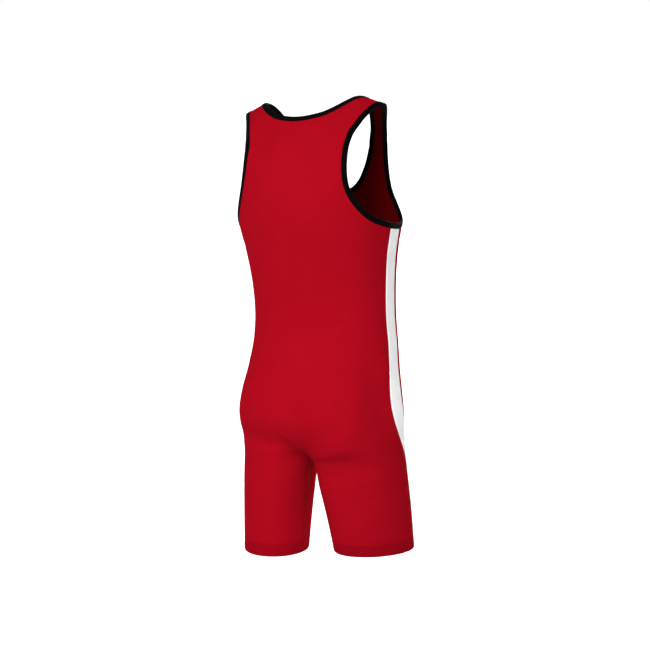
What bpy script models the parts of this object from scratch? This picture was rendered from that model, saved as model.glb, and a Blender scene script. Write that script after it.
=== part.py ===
"""Weightlifting singlet in the form it takes when worn, hollow and with no wearer.

Metres, +Z up. The front faces -Y and the wearer's left is +X. The origin is midway
between the shoulders, at the height of the neck ends of the shoulder seams.

One surface is worked out from body sections, and every piece is cut from it. A place
on the cloth is (share, run): share is 0 at the centre line or inseam and 1 at the side
seam, and run is the way down the cloth from the shoulder seam.
"""
import math
from collections import namedtuple

import bmesh
import bpy
import numpy as np
from mathutils.geometry import delaunay_2d_cdt

# Cloth and trim thicknesses and widths
WALL = 0.0015
HEM_WALL = 0.0028
HEM_DEPTH = 0.024
HEM_STEP = 0.0020
SEAM_GAP = 0.0003
BINDING_WIDTH = 0.0095
BINDING_WALL = 0.0011
BAND_WIDTH = 0.034
BAND_WALL = 0.0010

# Spacing of the points along edges and inside the panels
EDGE_SPACING = 0.015
FACET = 0.020

# Heights that divide the garment
CAP_HEIGHT = -0.085
BLEND_HEIGHT = -0.590
CROTCH_HEIGHT = -0.690
HEM_HEIGHT = -0.875

# Run of cloth over each stretch, from the shoulder seam down
CAP_RUN = 0.110
BODY_RUN = CAP_HEIGHT - BLEND_HEIGHT
SEAT_RUN = 0.140
LEG_RUN = CROTCH_HEIGHT - HEM_HEIGHT
SEAT_START = CAP_RUN + BODY_RUN
CROTCH_RUN = SEAT_START + SEAT_RUN
HEM_RUN = CROTCH_RUN + LEG_RUN
HEM_LINE_RUN = HEM_RUN - HEM_DEPTH

# Roundness of the torso ring and of the shoulder, as superellipse powers
RING_POWER = 2.25
CAP_POWER = 2.4

# Slope of the shoulders, outward from the neck
SHOULDER_SLOPE = 0.40
NECK_POINT = 0.103
NECK_POINT_SOFTNESS = 0.010
SLOPE_FADE_TOP = -0.030
SLOPE_FADE_BOTTOM = -0.170

# The legs' sections are ovals that lean forward and outward
LEG_LEAN = 0.20
TORSO_SEAM_TURN = math.radians(182)
LEG_SEAM_TURN = math.radians(221)
SEAM_DRIFT_TOP = -0.570
SEAM_DRIFT_BOTTOM = -0.740
SADDLE_DEPTH = 0.020
SADDLE_REACH = 0.25
SADDLE_RISE = 0.40
SADDLE_SPAN = 0.40

BACK = 1
FRONT = -1
LEFT = 1
RIGHT = -1
OUTWARD = 1
INWARD = -1

# Torso sections: half width, and how far back, side and front lie from the shoulder line
Section = namedtuple("Section", "height half_width back side front")
TORSO = (
    Section(-0.670, 0.172, 0.090, -0.030, -0.111),
    Section(-0.620, 0.171, 0.098, -0.030, -0.121),
    Section(-0.570, 0.164, 0.092, -0.028, -0.134),
    Section(-0.520, 0.154, 0.079, -0.035, -0.144),
    Section(-0.470, 0.147, 0.068, -0.043, -0.147),
    Section(-0.420, 0.143, 0.066, -0.042, -0.147),
    Section(-0.360, 0.144, 0.076, -0.038, -0.144),
    Section(-0.300, 0.151, 0.090, -0.030, -0.141),
    Section(-0.240, 0.163, 0.105, -0.023, -0.141),
    Section(-0.190, 0.168, 0.109, -0.018, -0.136),
    Section(-0.135, 0.174, 0.100, -0.014, -0.122),
    Section(-0.090, 0.178, 0.086, -0.010, -0.105),
    Section(-0.045, 0.176, 0.067, -0.006, -0.078),
    Section(0.020, 0.170, 0.050, 0.000, -0.050),
)

# Leg sections, by the share of the leg's length below the crotch
LegSection = namedtuple("LegSection", "share out back half_width half_depth")
LEG = (
    LegSection(-0.55, 0.081, -0.018, 0.0790, 0.0990),
    LegSection(0.00, 0.087, -0.022, 0.0768, 0.0950),
    LegSection(0.25, 0.092, -0.026, 0.0748, 0.0920),
    LegSection(0.55, 0.098, -0.032, 0.0716, 0.0880),
    LegSection(1.00, 0.105, -0.040, 0.0672, 0.0820),
)

# How far each hem is shifted by the stance
Stance = namedtuple("Stance", "back up")
STANCE = {LEFT: Stance(0.008, -0.009), RIGHT: Stance(-0.008, 0.009)}

# How far back the middle line lies that the folds are lifted away from
MIDDLE_BACK = -0.030

# Outlines of the openings on one half of a panel, from the shoulder down
Corner = namedtuple("Corner", "out height")
NECK = {
    BACK: (
        Corner(0.1060, 0.0),
        Corner(0.0955, -0.0060),
        Corner(0.0800, -0.0175),
        Corner(0.0600, -0.0292),
        Corner(0.0400, -0.0362),
        Corner(0.0000, -0.0412),
    ),
    FRONT: (
        Corner(0.1060, 0.0),
        Corner(0.0910, -0.0400),
        Corner(0.0700, -0.0860),
        Corner(0.0510, -0.1220),
        Corner(0.0285, -0.1530),
        Corner(0.0000, -0.1680),
    ),
}
ARMHOLE_BOTTOM = -0.243
ARMHOLE = {
    BACK: (
        Corner(0.1510, 0.0),
        Corner(0.1265, -0.045),
        Corner(0.1143, -0.088),
        Corner(0.1120, -0.130),
        Corner(0.1158, -0.170),
        Corner(0.1268, -0.200),
        Corner(0.1410, -0.223),
        Corner(0.1535, -0.236),
    ),
    FRONT: (
        Corner(0.1510, 0.0),
        Corner(0.1270, -0.045),
        Corner(0.1126, -0.088),
        Corner(0.1075, -0.130),
        Corner(0.1107, -0.170),
        Corner(0.1267, -0.202),
        Corner(0.1446, -0.226),
        Corner(0.1550, -0.2365),
    ),
}

# The cloth's largest soft folds, as long soft bumps between two tips, sunk where the lift
# is negative. Round is 0 at the centre back, 1 at the left side seam and 2 at the centre
# front, and negative on the right. Reach is half a fold's width.
Fold = namedtuple("Fold", "start_round start_run end_round end_run reach lift")
FOLDS = (
    Fold(0.22, 0.078, 0.20, 0.132, 0.040, -0.0030),
    Fold(0.15, 0.110, 0.07, 0.250, 0.055, 0.0028),
    Fold(-0.27, 0.082, -0.15, 0.178, 0.040, -0.0035),
    Fold(-0.17, 0.125, -0.24, 0.275, 0.036, -0.0035),
    Fold(-0.31, 0.105, -0.34, 0.260, 0.045, 0.0030),
    Fold(0.27, 0.225, 0.46, 0.295, 0.046, -0.0030),
    Fold(-0.78, 0.480, -0.56, 0.590, 0.055, -0.0045),
    Fold(-0.60, 0.545, -0.66, 0.660, 0.050, -0.0040),
    Fold(0.00, 0.540, 0.00, 0.668, 0.048, -0.0045),
    Fold(0.74, 0.700, 0.08, 0.658, 0.046, -0.0055),
    Fold(0.24, 0.648, 0.00, 0.738, 0.036, -0.0040),
    Fold(-0.04, 0.700, -0.70, 0.718, 0.046, -0.0050),
    Fold(1.62, 0.632, 1.95, 0.722, 0.040, -0.0035),
    Fold(-1.58, 0.640, -1.94, 0.718, 0.040, -0.0030),
    Fold(1.40, 0.455, 1.88, 0.500, 0.036, -0.0030),
    Fold(-1.36, 0.518, -1.84, 0.478, 0.038, -0.0035),
    Fold(1.76, 0.200, 1.62, 0.330, 0.070, 0.0035),
    Fold(-1.74, 0.200, -1.64, 0.320, 0.070, 0.0035),
    Fold(1.97, 0.215, 1.99, 0.400, 0.045, -0.0030),
)

# Flat width that stands for a half panel while its triangles are laid out
LAYOUT_WIDTH = 0.24
CURVE_STEPS = 40
LINE_STEPS = 320
# A share that lies past the side band's edge everywhere
PAST_BAND = 0.7
# How far the inner points stay from the fixed edges, in facets
INNER_CLEARANCE = 0.6
# Asks the triangulation for the triangles inside the outline alone
TRIANGLES_INSIDE = 1
PROBE = 1e-4
WELD = 1e-5
SHARP_ANGLE = math.radians(40)


def ease(value):
    value = np.clip(value, 0.0, 1.0)
    return value * value * (3.0 - 2.0 * value)


def mix(start, end, share):
    return start + (end - start) * share


def signed_power(value, power):
    return np.sign(value) * np.abs(value) ** power


def read_table(rows, key, column, places):
    """A smooth curve through one column of a table, read at the given places"""
    knots = np.array([getattr(row, key) for row in rows])
    values = np.array([getattr(row, column) for row in rows])
    slopes = np.gradient(values, knots)
    places = np.clip(np.asarray(places, float), knots[0], knots[-1])
    low = np.clip(np.searchsorted(knots, places) - 1, 0, len(knots) - 2)
    width = knots[low + 1] - knots[low]
    f = (places - knots[low]) / width
    return (
        (1 + 2 * f) * (1 - f) ** 2 * values[low]
        + f * (1 - f) ** 2 * width * slopes[low]
        + f * f * (3 - 2 * f) * values[low + 1]
        + f * f * (f - 1) * width * slopes[low + 1]
    )


def cap_height(run):
    turn = math.pi / 2 * np.clip(run, -CAP_RUN, CAP_RUN) / CAP_RUN
    return CAP_HEIGHT * (1 - np.cos(turn) ** (2 / CAP_POWER))


def cap_run(height):
    level = np.clip(1 - height / CAP_HEIGHT, 0.0, 1.0)
    return CAP_RUN * 2 / math.pi * np.arccos(level ** (CAP_POWER / 2))


def run_at(height):
    """The run down the cloth to a height above the seat"""
    return np.where(height > CAP_HEIGHT, cap_run(height), CAP_RUN + CAP_HEIGHT - height)


def ring_point(turn, height):
    """A point of the torso ring; turn is 0 at the centre back and pi at the centre front"""
    half_width = read_table(TORSO, "height", "half_width", height)
    back = read_table(TORSO, "height", "back", height)
    side = read_table(TORSO, "height", "side", height)
    front = read_table(TORSO, "height", "front", height)
    across = signed_power(np.sin(turn), 2 / RING_POWER)
    along = signed_power(np.cos(turn), 2 / RING_POWER)
    depth = np.where(along > 0, back - side, side - front)
    return half_width * across, side + depth * along


def leg_point(turn, share, side):
    """A point of a leg's oval; turn is 0 at the inseam and a quarter circle at the back"""
    out = read_table(LEG, "share", "out", share)
    back = read_table(LEG, "share", "back", share) + STANCE[side].back * np.clip(share, 0, 1)
    half_width = read_table(LEG, "share", "half_width", share)
    half_depth = read_table(LEG, "share", "half_depth", share)
    across = -np.cos(turn)
    along = math.sqrt(1 - LEG_LEAN ** 2) * np.sin(turn) - LEG_LEAN * across
    return out + half_width * across, back + half_depth * along


def fold_lift(place, run):
    """How far the soft folds lift the cloth at a place round the body and down it"""
    lift = np.zeros_like(run)
    for fold in FOLDS:
        middle = (fold.start_round + fold.end_round) / 2
        across = ((place - middle + 2) % 4 - 2) * LAYOUT_WIDTH
        down = run - (fold.start_run + fold.end_run) / 2
        half = np.array([(fold.end_round - middle) * LAYOUT_WIDTH, (fold.end_run - fold.start_run) / 2])
        length = np.hypot(*half)
        along = (across * half[0] + down * half[1]) / length
        aside = (across * half[1] - down * half[0]) / length
        inside = 1 - (along / length) ** 2 - (aside / fold.reach) ** 2
        lift = lift + fold.lift * np.clip(inside, 0, 1) ** 2
    return lift


def cloth_point(share, run, face, side):
    """Where a place on the cloth lies in space, for one panel and one side of the body"""
    share, run = np.broadcast_arrays(np.asarray(share, float), np.asarray(run, float))
    rise = np.clip((CROTCH_RUN - run) / SEAT_RUN, 0, 1)
    blend = rise * (2 * share + SADDLE_SPAN * rise) / (2 * share + SADDLE_SPAN)
    leg_share = np.clip((run - CROTCH_RUN) / LEG_RUN, 0, 1)
    height = np.where(
        run < CAP_RUN,
        cap_height(run),
        np.where(run < SEAT_START, CAP_HEIGHT - (run - CAP_RUN), mix(CROTCH_HEIGHT, BLEND_HEIGHT, blend)),
    )
    height = height - LEG_RUN * leg_share

    # Above the crotch the cloth spans from leg to leg, and below it the legs part in an arch
    span = np.hypot(share, SADDLE_RISE * np.sqrt(blend)) - share
    leg_place = share + span * (1 - share ** 2)
    below = np.clip((CROTCH_HEIGHT - height) / SADDLE_DEPTH, 0, 1)
    arch = np.sqrt(1 - (1 - below) ** 2)
    beside = np.clip(share / SADDLE_REACH, 0, 1)
    apart = np.hypot(arch, np.sqrt(1 - arch ** 2) * beside * (2 - beside))

    seam_drift = ease((SEAM_DRIFT_TOP - height) / (SEAM_DRIFT_TOP - SEAM_DRIFT_BOTTOM))
    seam_turn = mix(TORSO_SEAM_TURN, LEG_SEAM_TURN, seam_drift)
    if face == BACK:
        ring_turn = share * math.pi / 2
        leg_turn = leg_place * seam_turn
    else:
        ring_turn = math.pi - share * math.pi / 2
        leg_turn = 2 * math.pi - leg_place * (2 * math.pi - seam_turn)

    ring_out, ring_back = ring_point(ring_turn, height)
    oval_share = (CROTCH_HEIGHT - height) / LEG_RUN
    leg_out, leg_back = leg_point(leg_turn, oval_share, side)
    leg_out = leg_out * apart

    out = mix(leg_out, ring_out, ease(blend))
    back = mix(leg_back, ring_back, ease(blend))

    place = side * (share if face == BACK else 2 - share)
    lift = fold_lift(place, run)
    away = np.hypot(out, back - MIDDLE_BACK)
    out = out * (1 + lift / away)
    back = back + (back - MIDDLE_BACK) * lift / away

    # The shoulders round over to the seam line, and fall away from the neck
    over = math.pi / 2 * np.clip(run, -CAP_RUN, CAP_RUN) / CAP_RUN
    back = back * signed_power(np.sin(over), 2 / CAP_POWER)
    past_neck = out - NECK_POINT
    fall = (np.sqrt(past_neck ** 2 + NECK_POINT_SOFTNESS ** 2) + past_neck) / 2
    fade = ease((height - SLOPE_FADE_BOTTOM) / (SLOPE_FADE_TOP - SLOPE_FADE_BOTTOM))
    height = height - SHOULDER_SLOPE * fall * fade + STANCE[side].up * leg_share
    return np.stack([side * out, back, height], -1)


def place_on_torso(out, height):
    """The share and run of a torso point, from its distance out and its height"""
    half_width = read_table(TORSO, "height", "half_width", height)
    share = np.arcsin(np.clip(out / half_width, 0, 1) ** (RING_POWER / 2)) * 2 / math.pi
    return np.stack([share, run_at(height)], -1)


def smooth_curve(places, before, after):
    """Catmull-Rom curve through places, with the given places past its two ends"""
    knots = np.vstack([before, places, after])
    t = np.linspace(0, 1, CURVE_STEPS, endpoint=False)[:, None]
    pieces = []
    for i in range(1, len(knots) - 2):
        a, b, c, d = knots[i - 1:i + 3]
        pieces.append(
            (2 * b + (c - a) * t + (2 * a - 5 * b + 4 * c - d) * t ** 2
             + (3 * b - a - 3 * c + d) * t ** 3) / 2
        )
    return np.vstack(pieces + [knots[-2:-1]])


def spread(places, face, spacing):
    """Places at even distances in space along a dense line on the cloth"""
    points = cloth_point(places[:, 0], places[:, 1], face, LEFT)
    steps = np.linalg.norm(np.diff(points, axis=0), axis=1)
    travelled = np.concatenate([[0], np.cumsum(steps)])
    count = max(1, round(travelled[-1] / spacing))
    stops = np.linspace(0, travelled[-1], count + 1)
    return np.stack([np.interp(stops, travelled, places[:, k]) for k in (0, 1)], -1)


def line(start, end):
    return np.linspace(start, end, LINE_STEPS)


def step_in(place, along, face, hand, width):
    """The place reached by going straight in from an edge, on its left or right hand"""
    share, run = place
    across = cloth_point(share + PROBE, run, face, LEFT) - cloth_point(share - PROBE, run, face, LEFT)
    down = cloth_point(share, run + PROBE, face, LEFT) - cloth_point(share, run - PROBE, face, LEFT)
    frame = np.stack([across, down], -1) / (2 * PROBE)
    inward = np.cross(np.cross(across, down), frame @ along)
    inward = inward / np.linalg.norm(inward)
    change = np.linalg.lstsq(frame, inward * width, rcond=None)[0]
    side = hand * (along[1] * change[0] - along[0] * change[1])
    return place + math.copysign(1, side) * change


def step_in_all(places, face, hand, width):
    alongs = np.gradient(places, axis=0)
    return np.array([step_in(p, a, face, hand, width) for p, a in zip(places, alongs)])


def share_beside_seam(run, face):
    """The share that lies half a side band's width away from the side seam"""
    shares = np.linspace(1, PAST_BAND, LINE_STEPS)
    points = cloth_point(shares, run, face, LEFT)
    travelled = np.concatenate([[0], np.cumsum(np.linalg.norm(np.diff(points, axis=0), axis=1))])
    return float(np.interp(BAND_WIDTH / 2, travelled, shares))


Edging = namedtuple("Edging", "edge inset")


def neck_edging(face):
    """The neck's edge and the line a binding's width in, from the shoulder to the centre"""
    corners = np.array([place_on_torso(c.out, c.height) for c in NECK[face]])
    before = corners[1] * (1, -1)
    after = corners[-2] * (-1, 1)
    edge = spread(smooth_curve(corners, before, after), face, EDGE_SPACING)
    inset = step_in_all(edge, face, OUTWARD, BINDING_WIDTH)
    level = BINDING_WIDTH * math.cos(math.atan(SHOULDER_SLOPE))
    inset[0] = place_on_torso(NECK[face][0].out + level, 0.0)
    inset[-1] = (0, edge[-1][1] + BINDING_WIDTH)
    return Edging(edge, inset)


def armhole_edging(face):
    """The armhole's edge and the line a binding's width in, from the shoulder to the side"""
    corners = [place_on_torso(c.out, c.height) for c in ARMHOLE[face]]
    bottom = np.array([1, float(run_at(ARMHOLE_BOTTOM))])
    corners = np.array(corners + [bottom])
    before = corners[1] * (1, -1)
    after = np.array([2 - corners[-2][0], corners[-2][1]])
    curve = smooth_curve(corners, before, after)
    beside = share_beside_seam(bottom[1], face)
    last = np.array([beside, np.interp(beside, curve[-CURVE_STEPS:, 0], curve[-CURVE_STEPS:, 1])])
    upper = np.vstack([curve[curve[:, 0] < beside], last])
    edge = np.vstack([spread(upper, face, EDGE_SPACING), bottom])
    inset = step_in_all(edge, face, INWARD, BINDING_WIDTH)
    level = BINDING_WIDTH * math.cos(math.atan(SHOULDER_SLOPE))
    inset[0] = place_on_torso(ARMHOLE[face][0].out - level, 0.0)
    inset[-2:] = edge[-2:] + (0, BINDING_WIDTH)
    return Edging(edge, inset)


class Layout:
    """One half panel laid out on the cloth: its places, and the triangles that join them"""

    def __init__(self, face):
        self.face = face
        self.places = []
        self.fixed_edges = []
        neck = neck_edging(face)
        armhole = armhole_edging(face)
        self.neck = self.add_strip(neck.edge, neck.inset)
        self.armhole = self.add_strip(armhole.edge, armhole.inset)
        shoulder = spread(line(neck.inset[0], armhole.inset[0]), face, EDGE_SPACING)[1:-1]
        self.join([self.neck[1][0], *self.add(shoulder), self.armhole[1][0]])

        side_runs = spread(line(armhole.inset[-1], (1, HEM_LINE_RUN)), face, EDGE_SPACING)[1:, 1]
        crotch = np.array([0, CROTCH_RUN])
        centre = self.add(spread(line(neck.inset[-1], crotch), face, EDGE_SPACING)[1:])
        inseam = self.add(spread(line(crotch, (0, HEM_LINE_RUN)), face, EDGE_SPACING)[1:-1])
        hem_rows = self.hem_rows()
        self.join([self.neck[1][-1], *centre, *inseam, hem_rows[0][0]])
        for upper, lower in zip(hem_rows, hem_rows[1:]):
            self.join_strip(upper, lower)

        beside = self.add([(share_beside_seam(run, face), run) for run in side_runs[:-1]])
        seam = self.add([(1, run) for run in side_runs[:-1]])
        seam = [self.armhole[1][-1], *seam, *(row[-1] for row in hem_rows)]
        beside = [self.armhole[1][-2], *beside, *(row[-2] for row in hem_rows)]
        self.side = (seam, beside)
        self.join_strip(beside, seam)
        self.thick_hem = {*hem_rows[1], *hem_rows[2]}
        self.add_inner_places()
        self.triangulate()

    def add(self, places):
        first = len(self.places)
        self.places.extend(tuple(float(value) for value in place) for place in places)
        return list(range(first, len(self.places)))

    def join(self, chain):
        self.fixed_edges.extend(zip(chain, chain[1:]))

    def join_strip(self, first, second):
        """Fix both sides, the rungs and the diagonals of a strip between two chains"""
        self.join(first)
        self.join(second)
        self.fixed_edges.extend(zip(first, second))
        self.fixed_edges.extend(zip(first, second[1:]))

    def add_strip(self, edge, inset):
        chains = self.add(edge), self.add(inset)
        self.join_strip(*chains)
        return chains

    def hem_rows(self):
        """Places along the hem's stitch line, the foot of its step and its edge"""
        beside = share_beside_seam(HEM_RUN, self.face)
        even = spread(line((0, HEM_RUN), (beside, HEM_RUN)), self.face, EDGE_SPACING)[:, 0] / beside
        rows = []
        for run in (HEM_LINE_RUN, HEM_LINE_RUN + HEM_STEP, HEM_RUN):
            rows.append(self.add((share, run) for share in (*even * share_beside_seam(run, self.face), 1)))
        return rows

    def add_inner_places(self):
        """Fill the panel with evenly spaced places, clear of the fixed edges"""
        fixed = np.array(self.places)
        ends = np.array(self.fixed_edges)
        stops = np.vstack([fixed, (fixed[ends[:, 0]] + fixed[ends[:, 1]]) / 2])
        taken = cloth_point(stops[:, 0], stops[:, 1], self.face, LEFT)
        rows = spread(line((0.5, 0), (0.5, HEM_LINE_RUN)), self.face, FACET * math.sqrt(3) / 2)[1:-1, 1]
        for number, run in enumerate(rows):
            shares = spread(line((0, run), (1, run)), self.face, FACET)[:, 0]
            if number % 2:
                shares = (shares[:-1] + shares[1:]) / 2
            points = cloth_point(shares, run, self.face, LEFT)
            nearest = np.linalg.norm(points[:, None] - taken[None], axis=-1).min(axis=1)
            self.add((share, run) for share in shares[nearest > INNER_CLEARANCE * FACET])

    def triangulate(self):
        flat = [(share * LAYOUT_WIDTH, run) for share, run in self.places]
        result = delaunay_2d_cdt(flat, self.fixed_edges, [], TRIANGLES_INSIDE, WELD)
        origins = [sources[0] for sources in result[3]]
        self.triangles = [[origins[k] for k in face] for face in result[2]]
        self.smooth_triangles()

    def smooth_triangles(self):
        """Turn the edges that are free to turn wherever that makes the surface smoother"""
        shares, runs = np.array(self.places).T
        mesh = bmesh.new()
        verts = [mesh.verts.new(point) for point in cloth_point(shares, runs, self.face, LEFT)]
        mesh.verts.index_update()
        for triangle in self.triangles:
            mesh.faces.new([verts[k] for k in triangle])
        fixed = {frozenset(ends) for ends in self.fixed_edges}
        free = [edge for edge in mesh.edges if frozenset(v.index for v in edge.verts) not in fixed]
        bmesh.ops.beautify_fill(mesh, faces=mesh.faces[:], edges=free, method="ANGLE")
        self.triangles = [[vert.index for vert in face.verts] for face in mesh.faces]
        mesh.free()


class Cloth:
    """Both panels on both sides of the body, with the normals that all pieces share"""

    def __init__(self):
        self.layouts = {face: Layout(face) for face in (BACK, FRONT)}
        self.starts = {}
        points = []
        triangles = []
        for face, layout in self.layouts.items():
            places = np.array(layout.places)
            for side in (LEFT, RIGHT):
                self.starts[face, side] = len(points)
                own = np.array(layout.triangles) + len(points)
                if face * side < 0:
                    own = own[:, ::-1]
                triangles.append(own)
                points.extend(cloth_point(places[:, 0], places[:, 1], face, side))
        self.points = np.array(points)
        self.triangles = {face: np.vstack(triangles[k:k + 2]) for face, k in ((BACK, 0), (FRONT, 2))}
        self.same = self.find_same()
        self.normals = self.find_normals(np.vstack(triangles))

    def find_same(self):
        """The first of the points that lie in one place, for each point"""
        mesh = bmesh.new()
        for point in self.points:
            mesh.verts.new(point)
        mesh.verts.index_update()
        found = bmesh.ops.find_doubles(mesh, verts=mesh.verts, dist=WELD)["targetmap"]
        same = np.arange(len(self.points))
        for vert, target in found.items():
            same[vert.index] = target.index
        mesh.free()
        return same

    def find_normals(self, triangles):
        a, b, c = (self.points[triangles[:, k]] for k in range(3))
        facing = np.cross(b - a, c - a)
        normals = np.zeros_like(self.points)
        for k in range(3):
            np.add.at(normals, self.same[triangles[:, k]], facing)
        normals = normals[self.same]
        lengths = np.linalg.norm(normals, axis=1, keepdims=True)
        return normals / np.where(lengths > 0, lengths, 1)

    def chain(self, face, side, indices):
        return [self.same[self.starts[face, side] + k] for k in indices]


def unit(vectors):
    return vectors / np.linalg.norm(vectors, axis=-1, keepdims=True)


def is_seam(first, second):
    """Whether an edge between two places is sewn to the other panel"""
    on_shoulder = first[1] == 0 and second[1] == 0
    on_side = first[0] == 1 and second[0] == 1
    on_inseam = first[0] == 0 and second[0] == 0 and min(first[1], second[1]) >= CROTCH_RUN - WELD
    return on_shoulder or on_side or on_inseam


def panel_mesh(cloth, face):
    """A wall of cloth, trimmed back along its seams and thicker at its turned hems"""
    layout = cloth.layouts[face]
    count = len(layout.places)
    triangles = cloth.triangles[face]
    places = {}
    walls = {}
    for side in (LEFT, RIGHT):
        for k in range(count):
            key = cloth.same[cloth.starts[face, side] + k]
            places[key] = layout.places[k]
            walls[key] = HEM_WALL if k in layout.thick_hem else WALL
    triangles = cloth.same[triangles]
    used = np.unique(triangles)
    order = {key: number for number, key in enumerate(used)}

    directed = {}
    for triangle in triangles:
        for k in range(3):
            a, b, c = np.roll(triangle, -k)
            directed[a, b] = c
    rim = [(a, b, c) for (a, b), c in directed.items() if (b, a) not in directed]

    trims = {}
    for a, b, c in rim:
        if is_seam(places[a], places[b]):
            along = unit(cloth.points[b] - cloth.points[a])
            across = cloth.points[c] - cloth.points[a]
            inward = unit(across - along * (across @ along))
            for key in (a, b):
                trims[key] = trims.get(key, 0) + inward
    outer = np.array([
        cloth.points[key] + (unit(trims[key]) * SEAM_GAP / 2 if key in trims else 0) for key in used
    ])
    inner = outer - cloth.normals[used] * np.array([[walls[key]] for key in used])

    shift = len(used)
    faces = [[order[key] for key in triangle] for triangle in triangles]
    faces += [[order[key] + shift for key in triangle[::-1]] for triangle in triangles]
    for a, b, _ in rim:
        a, b = order[a], order[b]
        faces += [[b, a, a + shift], [b, a + shift, b + shift]]
    return np.vstack([outer, inner]), faces


def ribbon_faces(rings, size, closed, edge_rows, flipped):
    """Triangles between rings of points, whose split follows the cloth below"""
    faces = []
    last = rings if closed else rings - 1
    for i in range(last):
        here, there = i * size, (i + 1) % rings * size
        for j in range(size):
            k = (j + 1) % size
            a, b, c, d = here + j, here + k, there + k, there + j
            from_edge = edge_rows[j] if not flipped[i] else not edge_rows[j]
            if from_edge:
                faces += [[a, b, c], [a, c, d]]
            else:
                faces += [[a, b, d], [b, c, d]]
    if not closed:
        for start, turn in ((0, 1), ((rings - 1) * size, -1)):
            cap = [start + k for k in range(size)]
            half = size // 2
            for k in range(half - 1):
                quad = [cap[k], cap[k + 1], cap[size - 2 - k], cap[size - 1 - k]][::turn]
                faces += [[quad[0], quad[1], quad[2]], [quad[0], quad[2], quad[3]]]
    return faces


# Corners of a folded binding: which edge of the strip each lies on, how far past
# the cloth's edge in binding walls and gaps, and how high over the cloth's face
BindingCorner = namedtuple("BindingCorner", "at_edge past_gap past_wall height")
BINDING = (
    BindingCorner(False, 0, 0, SEAM_GAP + BINDING_WALL),
    BindingCorner(True, 1, 0, SEAM_GAP + BINDING_WALL),
    BindingCorner(True, 1, 1, 0.0),
    BindingCorner(True, 1, 1, -WALL),
    BindingCorner(True, 1, 0, -WALL - SEAM_GAP - BINDING_WALL),
    BindingCorner(False, 0, 0, -WALL - SEAM_GAP - BINDING_WALL),
    BindingCorner(False, 0, 0, -WALL - SEAM_GAP),
    BindingCorner(True, 1, 0, -WALL - SEAM_GAP),
    BindingCorner(True, 1, 0, SEAM_GAP),
    BindingCorner(False, 0, 0, SEAM_GAP),
)


def binding_mesh(cloth, stretches):
    """A folded strip of knit over an opening's edge, closed into a loop"""
    edges = []
    insets = []
    flipped = []
    for face, side, name, backward in stretches:
        edge, inset = getattr(cloth.layouts[face], name)
        edge = cloth.chain(face, side, edge)
        inset = cloth.chain(face, side, inset)
        if backward:
            edge, inset = edge[::-1], inset[::-1]
        edges += edge[:-1]
        insets += inset[:-1]
        flipped += [backward] * (len(edge) - 1)
    past = unit(cloth.points[edges] - cloth.points[insets])
    rings = []
    for corner in BINDING:
        base = edges if corner.at_edge else insets
        reach = corner.past_gap * SEAM_GAP + corner.past_wall * BINDING_WALL
        rings.append(cloth.points[base] + past * reach + cloth.normals[base] * corner.height)
    points = np.stack(rings, axis=1).reshape(-1, 3)
    edge_rows = [corner.at_edge for corner in BINDING]
    return points, ribbon_faces(len(edges), len(BINDING), True, edge_rows, flipped)


def band_mesh(cloth, side):
    """A flat tape over a side seam, from the armhole's binding to the hem"""
    columns = []
    for face in (BACK, FRONT):
        seam, beside = cloth.layouts[face].side
        columns.append((cloth.chain(face, side, beside), cloth.chain(face, side, seam)))
    (back, seam), (front, _) = columns
    low = SEAM_GAP
    high = SEAM_GAP + BAND_WALL
    upper = ((back, high), (seam, high), (front, high))
    lower = ((front, low), (seam, low), (back, low))
    rings = []
    for column, height in upper + lower:
        points = cloth.points[column] + cloth.normals[column] * height
        points[0] += unit(points[1] - points[0]) * 2 * SEAM_GAP
        rings.append(points)
    points = np.stack(rings, axis=1).reshape(-1, 3)
    from_edge = [True, False, False, True, False, False]
    return points, ribbon_faces(len(seam), len(rings), False, from_edge, [False] * len(seam))


def make_material(name, colour, roughness):
    material = bpy.data.materials.new(name)
    material.use_nodes = True
    shader = material.node_tree.nodes["Principled BSDF"]
    shader.inputs["Base Color"].default_value = (*colour, 1)
    shader.inputs["Roughness"].default_value = roughness
    shader.inputs["Metallic"].default_value = 0.0
    return material


def add_piece(collection, name, geometry, material):
    """A closed solid from points and triangles, with its faces turned outward"""
    points, faces = geometry
    mesh = bpy.data.meshes.new(name)
    mesh.from_pydata([tuple(point) for point in points], [], faces)
    solid = bmesh.new()
    solid.from_mesh(mesh)
    bmesh.ops.recalc_face_normals(solid, faces=solid.faces)
    solid.to_mesh(mesh)
    solid.free()
    mesh.shade_smooth()
    mesh.set_sharp_from_angle(angle=SHARP_ANGLE)
    mesh.materials.append(material)
    piece = bpy.data.objects.new(name, mesh)
    collection.objects.link(piece)
    return piece


def main():
    for old in list(bpy.data.objects):
        bpy.data.objects.remove(old, do_unlink=True)
    collection = bpy.data.collections.new("Weightlifting singlet")
    bpy.context.scene.collection.children.link(collection)
    red = make_material("Red knit", (0.42, 0.005, 0.014), 0.75)
    black = make_material("Black knit", (0.008, 0.008, 0.008), 0.7)
    white = make_material("White tape", (0.80, 0.80, 0.80), 0.65)

    cloth = Cloth()
    add_piece(collection, "back_panel", panel_mesh(cloth, BACK), red)
    add_piece(collection, "front_panel", panel_mesh(cloth, FRONT), red)
    neck = (
        (BACK, LEFT, "neck", True),
        (FRONT, LEFT, "neck", False),
        (FRONT, RIGHT, "neck", True),
        (BACK, RIGHT, "neck", False),
    )
    add_piece(collection, "neck_binding", binding_mesh(cloth, neck), black)
    for side, word in ((LEFT, "left"), (RIGHT, "right")):
        armhole = ((BACK, side, "armhole", True), (FRONT, side, "armhole", False))
        add_piece(collection, "armhole_binding_" + word, binding_mesh(cloth, armhole), black)
        add_piece(collection, "side_band_" + word, band_mesh(cloth, side), white)


main()
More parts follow.
